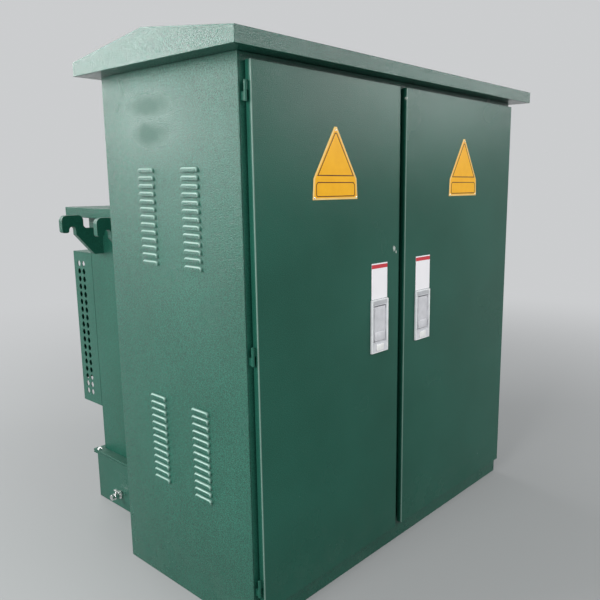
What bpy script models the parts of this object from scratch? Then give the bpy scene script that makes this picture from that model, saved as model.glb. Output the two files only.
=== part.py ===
"""Pad-mounted power transformer, made of named sub-parts, in metres with +Z up.

The front faces -Y. A tall cabinet with two doors and a gabled roof stands in front of a lower
oil tank, which carries lifting hooks, a bank of cooling fins and a perforated guard.
"""
import math

import bmesh
import bpy
from mathutils import Matrix, Vector

# Fits
SEAT = 0.0003
RUN = 0.005
PIN_PLAY = 0.0004

# Cabinet
CABINET_WIDTH = 1.60
CABINET_DEPTH = 0.75
WALL_HEIGHT = 1.80
DOOR_FACE_Y = -0.70
SHEET = 0.003
FRAME_DEPTH = 0.040
FRAME_LAP = 0.030
BARRIER_FOOT = 0.050

# Doors
DOOR_DEPTH = 0.022
DOOR_REVEAL = 0.022
DOOR_GAP = 0.040
DOOR_SPLIT_X = -0.057
DOOR_BOTTOM = 0.079
DOOR_RETURN = 0.018
RIB_WIDTH = 0.050
RIB_DEPTH = 0.012

# Hinges
HINGE_PIN_RADIUS = 0.0030
KNUCKLE_RADIUS = 0.0050
KNUCKLE_HEIGHT = 0.028
HINGE_INSET = 0.0115
HINGE_END = 0.085
HINGE_LEAF = 0.006
HINGE_LEAF_MARGIN = 0.002

# Roof
FASCIA_HEIGHT = 0.0465
RIDGE_RISE = 0.100
ROOF_SIDE_OVERHANG = 0.070
ROOF_FRONT_OVERHANG = 0.045
ROOF_BACK_OVERHANG = 0.060
ROOF_SEAT = 0.040

# Louvres
LOUVRE_ROWS = 13
LOUVRE_PITCH = 0.0254
LOUVRE_WIDTH = 0.094
LOUVRE_REACH = 0.009
LOUVRE_RISE = 0.009
LOUVRE_DROP = 0.0065
LOUVRE_SHOULDER_REACH = 0.0068
LOUVRE_SHOULDER_RISE = 0.0022
LOUVRE_END_SLOPE = 0.008
LOUVRE_ROOT = 0.001
LOUVRE_SKIN = 0.002
LOUVRE_FRONT_MARGIN = 0.266
LOUVRE_COLUMN_PITCH = 0.237
LOUVRE_FOOT_MARGIN = 0.396
LOUVRE_HEAD_MARGIN = 0.319

# Tank, lid and base
TANK_SIDE_INSET = 0.198
TANK_DEPTH = 0.536
TANK_HEIGHT = 1.1091
LID_PLATE = 0.006
LID_RIM = 0.042
LID_OVERHANG = 0.067
BASE_SIDE_INSET = 0.168
BASE_BACK_REACH = 0.020
BASE_HEIGHT = 0.215
FLANGE_REACH = 0.010
BASE_FLANGE = 0.007
TANK_FLANGE = 0.008
GASKET = 0.002

# Windows of the back panel, where the bushings sit on the tank
WINDOW_FOOT_LAP = 0.075
WINDOW_HEAD_LAP = 0.114
WINDOW_SIDE_LAP = 0.027
WINDOW_WEB = 0.150

# Lifting hooks
HOOK_PLATE = 0.026
HOOK_REACH = 0.172
HOOK_TOP_DROP = 0.023
HOOK_HEIGHT = 0.166
HOOK_LID_DROP = 0.042
HOOK_LID_CLEARANCE = 0.014
HOOK_LIP_HEIGHT = 0.071
HOOK_FOOT_REACH = 0.0405
HOOK_LIP = 0.029
HOOK_LIP_ROUND = 0.009
HOOK_NOTCH = 0.028
HOOK_NOTCH_RISE = 0.0112
HOOK_SHOULDER_DROP = 0.0084
HOOK_ROUND = 0.022
HOOK_CHAMFER = 0.010
HOOK_FRONT_INSET = 0.1627
HOOK_BACK_INSET = 0.0973

# Fins and guard
FIN_EDGE_MARGIN = 0.070
FIN_PITCH = 0.0425
FIN_THICKNESS = 0.011
FIN_DEPTH = 0.125
FIN_FOOT_MARGIN = 0.2951
FIN_HEAD_MARGIN = 0.249
FIN_CORNER = 0.030
FIN_WALL = 0.004
TIE_RADIUS = 0.005
TIE_MARGIN = 0.130
GUARD_CLEARANCE = 0.0294
GUARD_FOOT_LAP = 0.085
GUARD_HEAD_LAP = 0.050
GUARD_FLANGE = 0.030
GUARD_RETURN = 0.018
SLOT_MARGIN = 0.050
SLOT_PITCH = 0.0352
SLOT_WIDTH = 0.025
SLOT_HEIGHT = 0.028
SLOT_BACK_EDGE = 0.044
SLOT_COLUMN_PITCH = 0.039
COVER_FOOT_MARGIN = 0.105
COVER_HEAD_MARGIN = 0.069
COVER_FOLD = 0.012
COVER_SLOT_WIDTH = 0.028
COVER_SLOT_HEIGHT = 0.130
COVER_SLOT_PITCH = 0.100
COVER_SLOT_ROW_PITCH = 0.165
COVER_SLOT_SIDE_EDGE = 0.090
COVER_SLOT_END_EDGE = 0.095

# Locks and levers
LOCK_WIDTH = 0.095
LOCK_HEIGHT = 0.197
LOCK_BOTTOM = 0.829
LEFT_LOCK_EDGE = 0.072
RIGHT_LOCK_EDGE = 0.0685
LOCK_PROUD = 0.008
LOCK_BODY_MARGIN = 0.004
LOCK_BODY_DEPTH = 0.017
RECESS_WIDTH = 0.076
RECESS_TOP_RAIL = 0.022
RECESS_FOOT_RAIL = 0.038
RECESS_FLOOR = 0.011
LEVER_THICKNESS = 0.010
LEVER_FRONT = 0.006
LEVER_PIN_RADIUS = 0.0025
LEVER_PIN_DROP = 0.005
LEVER_PIN_HOLD = 0.004
GRIP_MARGIN = 0.004
GRIP_HEIGHT = 0.030
GRIP_FOOT = 0.002
GRIP_PROUD = 0.003
BUTTON_SIZE = 0.024
BUTTON_FOOT = 0.007
BUTTON_PROUD = 0.002
EDGE_ROUND = 0.0015

# High-voltage bushings, in wells with plugs
BUSHING_SEGMENTS = 14
HV_BUSHING_PITCH = 0.145
HV_BUSHING_EDGE = 0.075
HV_BUSHING_DROP = 0.384
HV_FLANGE_RADIUS = 0.055
HV_FLANGE = 0.012
HV_WELL_RADIUS = 0.042
HV_WELL_DEPTH = 0.070
HV_COLLAR_RADIUS = 0.046
HV_COLLAR = 0.012
HV_PLUG_RADIUS = 0.030
HV_PLUG_DEPTH = 0.109
MOULD_TAPER = 0.005

# Low-voltage bushings, with flat terminals
LV_BUSHING_PITCH = 0.135
LV_BUSHING_EDGE = 0.070
LV_BUSHING_DROP = 0.484
LV_FLANGE_RADIUS = 0.048
LV_FLANGE = 0.012
LV_BODY_RADIUS = 0.034
LV_BODY_DEPTH = 0.044
LV_SHED_RADIUS = 0.042
LV_SHED = 0.010
LV_STUD_RADIUS = 0.018
LV_STUD_DEPTH = 0.017
SPADE_LENGTH = 0.118
SPADE_LAP = 0.003
SPADE_THICKNESS = 0.010
SPADE_HEIGHT = 0.056
SPADE_HOLE_RADIUS = 0.007
SPADE_HOLE_EDGE = 0.025
SPADE_HOLE_PITCH = 0.045

# Drain valve
VALVE_SEGMENTS = 12
VALVE_BACK_INSET = 0.1653
VALVE_DROP = 0.151
VALVE_FLANGE_RADIUS = 0.019
VALVE_FLANGE = 0.005
VALVE_NECK_RADIUS = 0.010
VALVE_NECK = 0.007
VALVE_BODY_RADIUS = 0.014
VALVE_BODY = 0.018
VALVE_PLUG_RADIUS = 0.013
VALVE_PLUG = 0.008
SPINDLE_RADIUS = 0.005
SPINDLE_RISE = 0.031
VALVE_LEVER_WIDTH = 0.011
VALVE_LEVER_THICKNESS = 0.004
VALVE_LEVER_REACH = 0.036
VALVE_LEVER_TAIL = 0.012

# Places that follow from the sizes above
HALF_WIDTH = CABINET_WIDTH / 2
BACK_Y = DOOR_FACE_Y + CABINET_DEPTH
FRAME_Y = DOOR_FACE_Y + DOOR_DEPTH + RUN
FRAME_BACK_Y = FRAME_Y + FRAME_DEPTH
INNER_X = HALF_WIDTH - SHEET - SEAT
WALL_TOP = WALL_HEIGHT - SEAT
DOOR_TOP = WALL_HEIGHT - DOOR_REVEAL
LOUVRE_BANK_HEIGHT = LOUVRE_PITCH * (LOUVRE_ROWS - 1)
UPPER_LOUVRES_Z = WALL_HEIGHT - LOUVRE_HEAD_MARGIN - LOUVRE_BANK_HEIGHT
TANK_X = HALF_WIDTH - TANK_SIDE_INSET
TANK_FRONT_Y = BACK_Y + SEAT
TANK_BACK_Y = TANK_FRONT_Y + TANK_DEPTH
BASE_X = HALF_WIDTH - BASE_SIDE_INSET
BASE_BACK_Y = TANK_BACK_Y + BASE_BACK_REACH
BASE_FLANGE_TOP = BASE_HEIGHT + SEAT + BASE_FLANGE
TANK_FOOT = BASE_FLANGE_TOP + SEAT + GASKET + SEAT
TANK_TOP = TANK_FOOT + TANK_HEIGHT
LID_TOP = TANK_TOP + LID_PLATE
WINDOW_EDGE = TANK_X - WINDOW_SIDE_LAP
HV_WINDOW_END = DOOR_SPLIT_X - WINDOW_WEB / 2
LV_WINDOW_START = DOOR_SPLIT_X + WINDOW_WEB / 2
HV_BUSHING_SPAN = WINDOW_EDGE + HV_WINDOW_END - 2 * HV_BUSHING_EDGE
LV_BUSHING_SPAN = WINDOW_EDGE - LV_WINDOW_START - 2 * LV_BUSHING_EDGE
HV_BUSHING_COUNT = int(HV_BUSHING_SPAN / HV_BUSHING_PITCH) + 1
LV_BUSHING_COUNT = int(LV_BUSHING_SPAN / LV_BUSHING_PITCH) + 1
HOOK_TOP = TANK_TOP - HOOK_TOP_DROP
HOOK_LIP_FOOT = HOOK_TOP - HOOK_LIP_HEIGHT
HOOK_NECK = LID_OVERHANG + HOOK_LID_CLEARANCE
FIN_BOTTOM = TANK_FOOT + FIN_FOOT_MARGIN
FIN_TOP = TANK_TOP - FIN_HEAD_MARGIN
FIN_COUNT = int(2 * (TANK_X - FIN_EDGE_MARGIN) / FIN_PITCH) + 1
GUARD_DEPTH = SEAT + FIN_WALL + FIN_DEPTH + GUARD_CLEARANCE
GUARD_BOTTOM = FIN_BOTTOM - GUARD_FOOT_LAP
GUARD_TOP = FIN_TOP + GUARD_HEAD_LAP
SLOT_ROWS = int((GUARD_TOP - GUARD_BOTTOM - 2 * SLOT_MARGIN) / SLOT_PITCH) + 1
HINGE_HEIGHTS = (
    DOOR_BOTTOM + HINGE_END,
    (DOOR_BOTTOM + DOOR_TOP) / 2,
    DOOR_TOP - HINGE_END,
)
LOCK_TOP = LOCK_BOTTOM + LOCK_HEIGHT
LOCK_MIDDLES = {
    -1: DOOR_SPLIT_X - DOOR_GAP / 2 - LEFT_LOCK_EDGE - LOCK_WIDTH / 2,
    1: DOOR_SPLIT_X + DOOR_GAP / 2 + RIGHT_LOCK_EDGE + LOCK_WIDTH / 2,
}


def clear_scene():
    for item in list(bpy.data.objects):
        bpy.data.objects.remove(item, do_unlink=True)


def new_collection(name):
    collection = bpy.data.collections.new(name)
    bpy.context.scene.collection.children.link(collection)
    return collection


def new_material(name, colour, roughness, metallic):
    material = bpy.data.materials.new(name)
    material.use_nodes = True
    shader = material.node_tree.nodes["Principled BSDF"]
    shader.inputs["Base Color"].default_value = (*colour, 1.0)
    shader.inputs["Roughness"].default_value = roughness
    shader.inputs["Metallic"].default_value = metallic
    material.diffuse_color = (*colour, 1.0)
    return material


def add_object(name, mesh, material):
    """Adds a mesh to the part's collection."""
    item = bpy.data.objects.new(name, mesh)
    if material is not None:
        mesh.materials.append(material)
    PARTS.objects.link(item)
    return item


def as_tool(item):
    """Moves a solid to the cutters, where it only shapes other solids."""
    PARTS.objects.unlink(item)
    CUTTERS.objects.link(item)
    item.hide_render = True
    item.display_type = "WIRE"
    return item


def box(name, low, high, material=None):
    """An upright box between two corners."""
    low, high = Vector(low), Vector(high)
    work = bmesh.new()
    bmesh.ops.create_cube(work, size=1.0)
    bmesh.ops.scale(work, vec=high - low, verts=work.verts)
    mesh = bpy.data.meshes.new(name)
    work.to_mesh(mesh)
    work.free()
    item = add_object(name, mesh, material)
    item.location = (low + high) / 2
    return item


def cylinder(name, centre, axis, radius, length, material=None, segments=16):
    """A cylinder of the given length about its centre."""
    work = bmesh.new()
    bmesh.ops.create_cone(
        work, cap_ends=True, segments=segments, radius1=radius, radius2=radius, depth=length
    )
    mesh = bpy.data.meshes.new(name)
    work.to_mesh(mesh)
    work.free()
    item = add_object(name, mesh, material)
    item.rotation_mode = "QUATERNION"
    item.rotation_quaternion = Vector((0, 0, 1)).rotation_difference(Vector(axis))
    item.location = centre
    return item


def outline(name, points, thickness, place, material=None):
    """A flat outline, extruded by a thickness about its own plane and placed by a matrix."""
    curve = bpy.data.curves.new(name, "CURVE")
    curve.dimensions = "2D"
    curve.fill_mode = "BOTH"
    curve.extrude = thickness / 2
    spline = curve.splines.new("POLY")
    spline.points.add(len(points) - 1)
    for point, (u, v) in zip(spline.points, points):
        point.co = (u, v, 0, 1)
    spline.use_cyclic_u = True
    source = bpy.data.objects.new(name + "_outline", curve)
    PARTS.objects.link(source)
    source.matrix_world = place
    bpy.context.view_layer.update()
    graph = bpy.context.evaluated_depsgraph_get()
    mesh = bpy.data.meshes.new_from_object(source.evaluated_get(graph))
    work = bmesh.new()
    work.from_mesh(mesh)
    bmesh.ops.remove_doubles(work, verts=work.verts, dist=0.00001)
    bmesh.ops.recalc_face_normals(work, faces=work.faces)
    work.to_mesh(mesh)
    work.free()
    mesh.materials.clear()
    mesh.name = name
    item = add_object(name, mesh, material)
    item.matrix_world = source.matrix_world
    bpy.data.objects.remove(source, do_unlink=True)
    return item


def turned(name, profile, place, material=None, segments=BUSHING_SEGMENTS):
    """A profile of (radius, height) points, turned about its own Z axis."""
    mesh = bpy.data.meshes.new(name)
    corners = [(radius, 0, height) for radius, height in profile]
    mesh.from_pydata(corners, [(i, i + 1) for i in range(len(corners) - 1)], [])
    item = add_object(name, mesh, material)
    item.matrix_world = place
    turn = item.modifiers.new("Turn", "SCREW")
    turn.axis = "Z"
    turn.steps = segments
    turn.render_steps = segments
    turn.use_merge_vertices = True
    turn.merge_threshold = 0.00005
    turn.use_normal_flip = True
    return item


def combine(item, tool, operation):
    step = item.modifiers.new(operation.title(), "BOOLEAN")
    step.operation = operation
    step.solver = "EXACT"
    step.object = as_tool(tool)


def cut(item, *tools):
    for tool in tools:
        combine(item, tool, "DIFFERENCE")


def join(item, *tools):
    for tool in tools:
        combine(item, tool, "UNION")


def repeat(item, count, step):
    """Repeats a solid along a step."""
    row = item.modifiers.new("Repeat", "ARRAY")
    row.count = count
    row.use_relative_offset = False
    row.use_constant_offset = True
    row.constant_offset_displace = step


def round_edges(item, width, segments=1):
    bevel = item.modifiers.new("Edges", "BEVEL")
    bevel.width = width
    bevel.segments = segments
    bevel.limit_method = "ANGLE"
    bevel.angle_limit = math.radians(40)


def arc(centre, radius, start, end, steps):
    """Points along an arc, from one angle in degrees to another."""
    angles = [math.radians(start + (end - start) * i / steps) for i in range(steps + 1)]
    return [(centre[0] + radius * math.cos(a), centre[1] + radius * math.sin(a)) for a in angles]


def upright_plane(origin, across):
    """A matrix whose plane holds the direction across and +Z."""
    across = Vector(across)
    up = Vector((0, 0, 1))
    turn = Matrix((across, up, across.cross(up))).transposed()
    return Matrix.Translation(origin) @ turn.to_4x4()


def along(origin, direction):
    """A matrix whose Z axis runs along a direction."""
    turn = Vector((0, 0, 1)).rotation_difference(Vector(direction))
    return Matrix.Translation(origin) @ turn.to_matrix().to_4x4()


def door_edges(side):
    """The hinge edge and the free edge of a door, as X values."""
    hinge_edge = side * (HALF_WIDTH - DOOR_REVEAL)
    free_edge = DOOR_SPLIT_X + side * DOOR_GAP / 2
    return hinge_edge, free_edge


def door_opening(side):
    """The frame's opening behind a door, as low and high X."""
    hinge_edge, free_edge = door_edges(side)
    ends = (hinge_edge - side * FRAME_LAP, free_edge + side * FRAME_LAP)
    return min(ends), max(ends)


def make_frame():
    frame = box(
        "cabinet_frame", (-INNER_X, FRAME_Y, 0), (INNER_X, FRAME_BACK_Y, WALL_TOP), PAINT
    )
    for side in (-1, 1):
        low_x, high_x = door_opening(side)
        hole = box(
            f"door_opening_{side}",
            (low_x, FRAME_Y - RUN, DOOR_BOTTOM + FRAME_LAP),
            (high_x, FRAME_BACK_Y + RUN, DOOR_TOP - FRAME_LAP),
        )
        cut(frame, hole)
    return frame


def slope_ends(item, reach, slope):
    """Draws in the ends of an extruded outline, by a slope at the given reach."""
    half = max(corner.co.z for corner in item.data.vertices)
    for corner in item.data.vertices:
        corner.co.z *= 1 - slope * corner.co.x / (reach * half)


def louvre_tools(side, sheet_face):
    """The hoods of a side wall and the hollows behind them, each as one set of solids."""
    inner = -SHEET - LOUVRE_ROOT
    skin = LOUVRE_SKIN
    hood = [
        (-LOUVRE_ROOT, LOUVRE_RISE),
        (LOUVRE_SHOULDER_REACH, LOUVRE_SHOULDER_RISE),
        (LOUVRE_REACH, -LOUVRE_DROP),
        (-LOUVRE_ROOT, -LOUVRE_DROP),
    ]
    hollow = [
        (inner, LOUVRE_RISE - skin),
        (LOUVRE_SHOULDER_REACH - skin, LOUVRE_SHOULDER_RISE - skin / 2),
        (LOUVRE_REACH - skin, -LOUVRE_DROP - skin / 2),
        (skin / 2, -LOUVRE_DROP - skin / 2),
        (inner, -LOUVRE_DROP + skin),
    ]
    tools = []
    for name, points, width in (
        ("hoods", hood, LOUVRE_WIDTH),
        ("hollows", hollow, LOUVRE_WIDTH - 2 * skin),
    ):
        first = Vector((sheet_face, DOOR_FACE_Y + LOUVRE_FRONT_MARGIN, LOUVRE_FOOT_MARGIN))
        tool = outline(f"{name}_{side}", points, width, upright_plane(first, (side, 0, 0)))
        slope_ends(tool, LOUVRE_REACH, LOUVRE_END_SLOPE)
        repeat(tool, LOUVRE_ROWS, (0, LOUVRE_PITCH, 0))
        repeat(tool, 2, (0, 0, -side * LOUVRE_COLUMN_PITCH))
        repeat(tool, 2, (0, UPPER_LOUVRES_Z - LOUVRE_FOOT_MARGIN, 0))
        tools.append(tool)
    return tools


def make_side_wall(side, name):
    outer = side * HALF_WIDTH
    inner = side * (HALF_WIDTH - SHEET)
    wall = box(
        name,
        (min(outer, inner), FRAME_Y, 0),
        (max(outer, inner), BACK_Y, WALL_TOP),
        PAINT,
    )
    hoods, hollows = louvre_tools(side, outer)
    join(wall, hoods)
    cut(wall, hollows)
    return wall


def make_back_panel():
    panel = box("back_panel", (-INNER_X, BACK_Y - SHEET, 0), (INNER_X, BACK_Y, WALL_TOP), PAINT)
    for side, low_x, high_x in (
        (-1, -WINDOW_EDGE, HV_WINDOW_END),
        (1, LV_WINDOW_START, WINDOW_EDGE),
    ):
        window = box(
            f"window_{side}",
            (low_x, BACK_Y - SHEET - RUN, TANK_FOOT + WINDOW_FOOT_LAP),
            (high_x, BACK_Y + RUN, TANK_TOP - WINDOW_HEAD_LAP),
        )
        cut(panel, window)
    return panel


def make_barrier():
    return box(
        "barrier",
        (DOOR_SPLIT_X - SHEET / 2, FRAME_BACK_Y + SEAT, BARRIER_FOOT),
        (DOOR_SPLIT_X + SHEET / 2, BACK_Y - SHEET - SEAT, WALL_TOP),
        INSIDE_PAINT,
    )


def gable(name, front_y, back_y, half_width, foot, eaves, ridge, material=None):
    """A solid with two slopes, which meet in a ridge along X."""
    middle = (front_y + back_y) / 2
    points = [
        (front_y - middle, foot),
        (back_y - middle, foot),
        (back_y - middle, eaves),
        (0, ridge),
        (front_y - middle, eaves),
    ]
    place = upright_plane(Vector((0, middle, 0)), (0, 1, 0))
    return outline(name, points, half_width * 2, place, material)


def make_roof():
    front = DOOR_FACE_Y - ROOF_FRONT_OVERHANG
    back = BACK_Y + ROOF_BACK_OVERHANG
    half = HALF_WIDTH + ROOF_SIDE_OVERHANG
    eaves = WALL_HEIGHT + FASCIA_HEIGHT
    ridge = WALL_HEIGHT + RIDGE_RISE
    roof = gable("roof", front, back, half, WALL_HEIGHT, eaves, ridge, PAINT)
    inside = gable(
        "roof_inside",
        front + SHEET,
        back - SHEET,
        half - SHEET,
        WALL_HEIGHT + SHEET,
        eaves - SHEET,
        ridge - SHEET,
    )
    mouth = box(
        "roof_mouth",
        (-HALF_WIDTH + ROOF_SEAT, FRAME_Y + ROOF_SEAT, WALL_HEIGHT - SHEET),
        (HALF_WIDTH - ROOF_SEAT, BACK_Y - ROOF_SEAT, WALL_HEIGHT + 2 * SHEET),
    )
    cut(roof, inside, mouth)
    return roof


def make_tank():
    return box(
        "tank",
        (-TANK_X, TANK_FRONT_Y, TANK_FOOT),
        (TANK_X, TANK_BACK_Y, TANK_TOP - SEAT),
        PAINT,
    )


def make_lid():
    edge = TANK_X + LID_OVERHANG
    back = TANK_BACK_Y + LID_OVERHANG
    rim_foot = LID_TOP - LID_RIM
    lid = box("tank_lid", (-edge, TANK_FRONT_Y, rim_foot), (edge, back, LID_TOP), PAINT)
    under = box(
        "lid_underside",
        (-edge + LID_PLATE, TANK_FRONT_Y - LID_PLATE, rim_foot - LID_PLATE),
        (edge - LID_PLATE, back - LID_PLATE, TANK_TOP),
    )
    cut(lid, under)
    return lid


def make_flanges():
    low = BASE_HEIGHT + SEAT
    box("tank_base", (-BASE_X, TANK_FRONT_Y, 0), (BASE_X, BASE_BACK_Y, BASE_HEIGHT), PAINT)
    edge = BASE_X + FLANGE_REACH
    back = BASE_BACK_Y + FLANGE_REACH
    box("base_flange", (-edge, TANK_FRONT_Y, low), (edge, back, low + BASE_FLANGE), PAINT)
    gasket_low = BASE_FLANGE_TOP + SEAT
    box(
        "base_gasket",
        (-BASE_X, TANK_FRONT_Y, gasket_low),
        (BASE_X, BASE_BACK_Y, gasket_low + GASKET),
        BLACK_RUBBER,
    )
    flange = box(
        "tank_flange",
        (-edge, TANK_FRONT_Y, TANK_FOOT),
        (edge, back, TANK_FOOT + TANK_FLANGE),
        PAINT,
    )
    seat = box(
        "flange_seat",
        (-TANK_X - SEAT, TANK_FRONT_Y - TANK_FLANGE, TANK_FOOT - TANK_FLANGE),
        (TANK_X + SEAT, TANK_BACK_Y + SEAT, TANK_FOOT + 2 * TANK_FLANGE),
    )
    cut(flange, seat)


def hook_outline():
    """The lifting hook, as its reach from the tank wall and its height."""
    foot = HOOK_TOP - HOOK_HEIGHT
    body_top = LID_TOP - LID_RIM - HOOK_LID_DROP
    lip_inner = HOOK_REACH - HOOK_LIP
    notch_radius = HOOK_NOTCH / 2
    notch_centre = (lip_inner - notch_radius, HOOK_LIP_FOOT + HOOK_NOTCH_RISE)
    round_height = HOOK_TOP - HOOK_ROUND
    points = [(SEAT, foot), (HOOK_FOOT_REACH, foot)]
    points.append((lip_inner - HOOK_NOTCH, HOOK_LIP_FOOT - HOOK_SHOULDER_DROP))
    points += arc(notch_centre, notch_radius, 180, 0, 8)
    lip_low = HOOK_LIP_FOOT + HOOK_LIP_ROUND
    points += arc((lip_inner + HOOK_LIP_ROUND, lip_low), HOOK_LIP_ROUND, 180, 270, 3)
    points += arc((HOOK_REACH - HOOK_LIP_ROUND, lip_low), HOOK_LIP_ROUND, 270, 360, 3)
    points += arc((HOOK_REACH - HOOK_ROUND, round_height), HOOK_ROUND, 0, 90, 5)
    points += arc((HOOK_NECK + HOOK_ROUND, round_height), HOOK_ROUND, 90, 180, 5)
    points += [(HOOK_NECK, body_top + HOOK_CHAMFER), (HOOK_NECK - HOOK_CHAMFER, body_top)]
    points.append((SEAT, body_top))
    return points


def make_hooks():
    for side, side_name in ((-1, "left"), (1, "right")):
        for y, end_name in (
            (TANK_FRONT_Y + HOOK_FRONT_INSET, "front"),
            (TANK_BACK_Y - HOOK_BACK_INSET, "rear"),
        ):
            place = upright_plane(Vector((side * TANK_X, y, 0)), (side, 0, 0))
            name = f"lifting_hook_{side_name}_{end_name}"
            outline(name, hook_outline(), HOOK_PLATE, place, PAINT)


def make_fins():
    half = FIN_PITCH * (FIN_COUNT - 1) / 2
    wall_back = TANK_BACK_Y + SEAT + FIN_WALL
    wall = box(
        "radiator_fins",
        (-half - FIN_PITCH / 2, TANK_BACK_Y + SEAT, FIN_BOTTOM - FIN_WALL),
        (half + FIN_PITCH / 2, wall_back, FIN_TOP + FIN_WALL),
        PAINT,
    )
    reach = FIN_WALL / 2 + FIN_DEPTH
    tie_y = wall_back + FIN_DEPTH + SEAT + TIE_RADIUS
    points = [
        (0, FIN_BOTTOM),
        (reach - FIN_CORNER, FIN_BOTTOM),
        (reach, FIN_BOTTOM + FIN_CORNER),
        (reach, FIN_TOP - FIN_CORNER),
        (reach - FIN_CORNER, FIN_TOP),
        (0, FIN_TOP),
    ]
    place = upright_plane(Vector((half, wall_back - FIN_WALL / 2, 0)), (0, 1, 0))
    fins = outline("fins", points, FIN_THICKNESS, place)
    repeat(fins, FIN_COUNT, (0, 0, -FIN_PITCH))
    join(wall, fins)
    length = 2 * half + 2 * FIN_THICKNESS
    for word, height in (("lower", FIN_BOTTOM + TIE_MARGIN), ("upper", FIN_TOP - TIE_MARGIN)):
        cylinder(f"fin_tie_{word}", (0, tie_y, height), (1, 0, 0), TIE_RADIUS, length, PAINT)


def round_slot(width, height, steps):
    """The outline of an upright slot with rounded ends, about its middle."""
    straight = (height - width) / 2
    points = arc((0, straight), width / 2, 0, 180, steps)
    return points + arc((0, -straight), width / 2, 180, 360, steps)


def make_guard_side(side, name):
    """A perforated side of the guard, folded towards the fins at both upright edges."""
    front = TANK_BACK_Y + SEAT
    back = TANK_BACK_Y + GUARD_DEPTH
    outer = TANK_X
    points = [
        (outer, front),
        (outer, back),
        (outer - GUARD_RETURN, back),
        (outer - GUARD_RETURN, back - SHEET),
        (outer - SHEET, back - SHEET),
        (outer - SHEET, front + SHEET),
        (outer - GUARD_FLANGE, front + SHEET),
        (outer - GUARD_FLANGE, front),
    ]
    if side < 0:
        points = [(-x, y) for x, y in points]
    middle = (GUARD_BOTTOM + GUARD_TOP) / 2
    place = Matrix.Translation((0, 0, middle))
    panel = outline(name, points, GUARD_TOP - GUARD_BOTTOM, place, PAINT)
    slot = round_slot(SLOT_WIDTH, SLOT_HEIGHT, 3)
    first_y = back - SLOT_BACK_EDGE
    first_z = middle - SLOT_PITCH * (SLOT_ROWS - 1) / 2
    start = Vector((side * (outer - SHEET / 2), first_y, first_z))
    slots = outline(f"slots_{side}", slot, SHEET * 3, upright_plane(start, (0, -1, 0)))
    repeat(slots, SLOT_ROWS, (0, SLOT_PITCH, 0))
    repeat(slots, 2, (SLOT_COLUMN_PITCH, 0, 0))
    cut(panel, slots)
    return panel


def make_guard_top():
    """The guard's top sheet, with a fold that fixes it to the tank."""
    low = GUARD_TOP + SEAT
    front = TANK_BACK_Y + SEAT
    points = [
        (0, low),
        (GUARD_DEPTH - SEAT, low),
        (GUARD_DEPTH - SEAT, low + SHEET),
        (SHEET, low + SHEET),
        (SHEET, low + GUARD_RETURN),
        (0, low + GUARD_RETURN),
    ]
    place = upright_plane(Vector((0, front, 0)), (0, 1, 0))
    return outline("guard_top", points, TANK_X * 2, place, PAINT)


def make_guard_cover():
    """The guard's rear cover: a slotted sheet on the side sheets' returns, folded at two edges."""
    outer = TANK_BACK_Y + GUARD_DEPTH - SHEET - SEAT
    low = GUARD_BOTTOM + COVER_FOOT_MARGIN
    high = GUARD_TOP - COVER_HEAD_MARGIN
    half = TANK_X - SHEET - SEAT
    points = [
        (0, low),
        (0, high),
        (-COVER_FOLD, high),
        (-COVER_FOLD, high - SHEET),
        (-SHEET, high - SHEET),
        (-SHEET, low + SHEET),
        (-COVER_FOLD, low + SHEET),
        (-COVER_FOLD, low),
    ]
    place = upright_plane(Vector((0, outer, 0)), (0, 1, 0))
    cover = outline("guard_cover", points, half * 2, place, PAINT)
    columns = int(2 * (half - COVER_SLOT_SIDE_EDGE) / COVER_SLOT_PITCH) + 1
    rows = int((high - low - 2 * COVER_SLOT_END_EDGE) / COVER_SLOT_ROW_PITCH) + 1
    first_x = -COVER_SLOT_PITCH * (columns - 1) / 2
    first_z = (low + high) / 2 - COVER_SLOT_ROW_PITCH * (rows - 1) / 2
    start = Vector((first_x, outer - SHEET / 2, first_z))
    slot = round_slot(COVER_SLOT_WIDTH, COVER_SLOT_HEIGHT, 2)
    slots = outline("cover_slots", slot, SHEET * 3, upright_plane(start, (1, 0, 0)))
    repeat(slots, columns, (COVER_SLOT_PITCH, 0, 0))
    repeat(slots, rows, (0, COVER_SLOT_ROW_PITCH, 0))
    cut(cover, slots)


def stepped(steps):
    """A profile of turned steps, from (start radius, end radius, length) triples."""
    reach = SEAT
    profile = [(0, reach)]
    for start, end, length in steps:
        if profile[-1] != (start, reach):
            profile.append((start, reach))
        reach += length
        profile.append((end, reach))
    profile.append((0, reach))
    return profile


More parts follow.
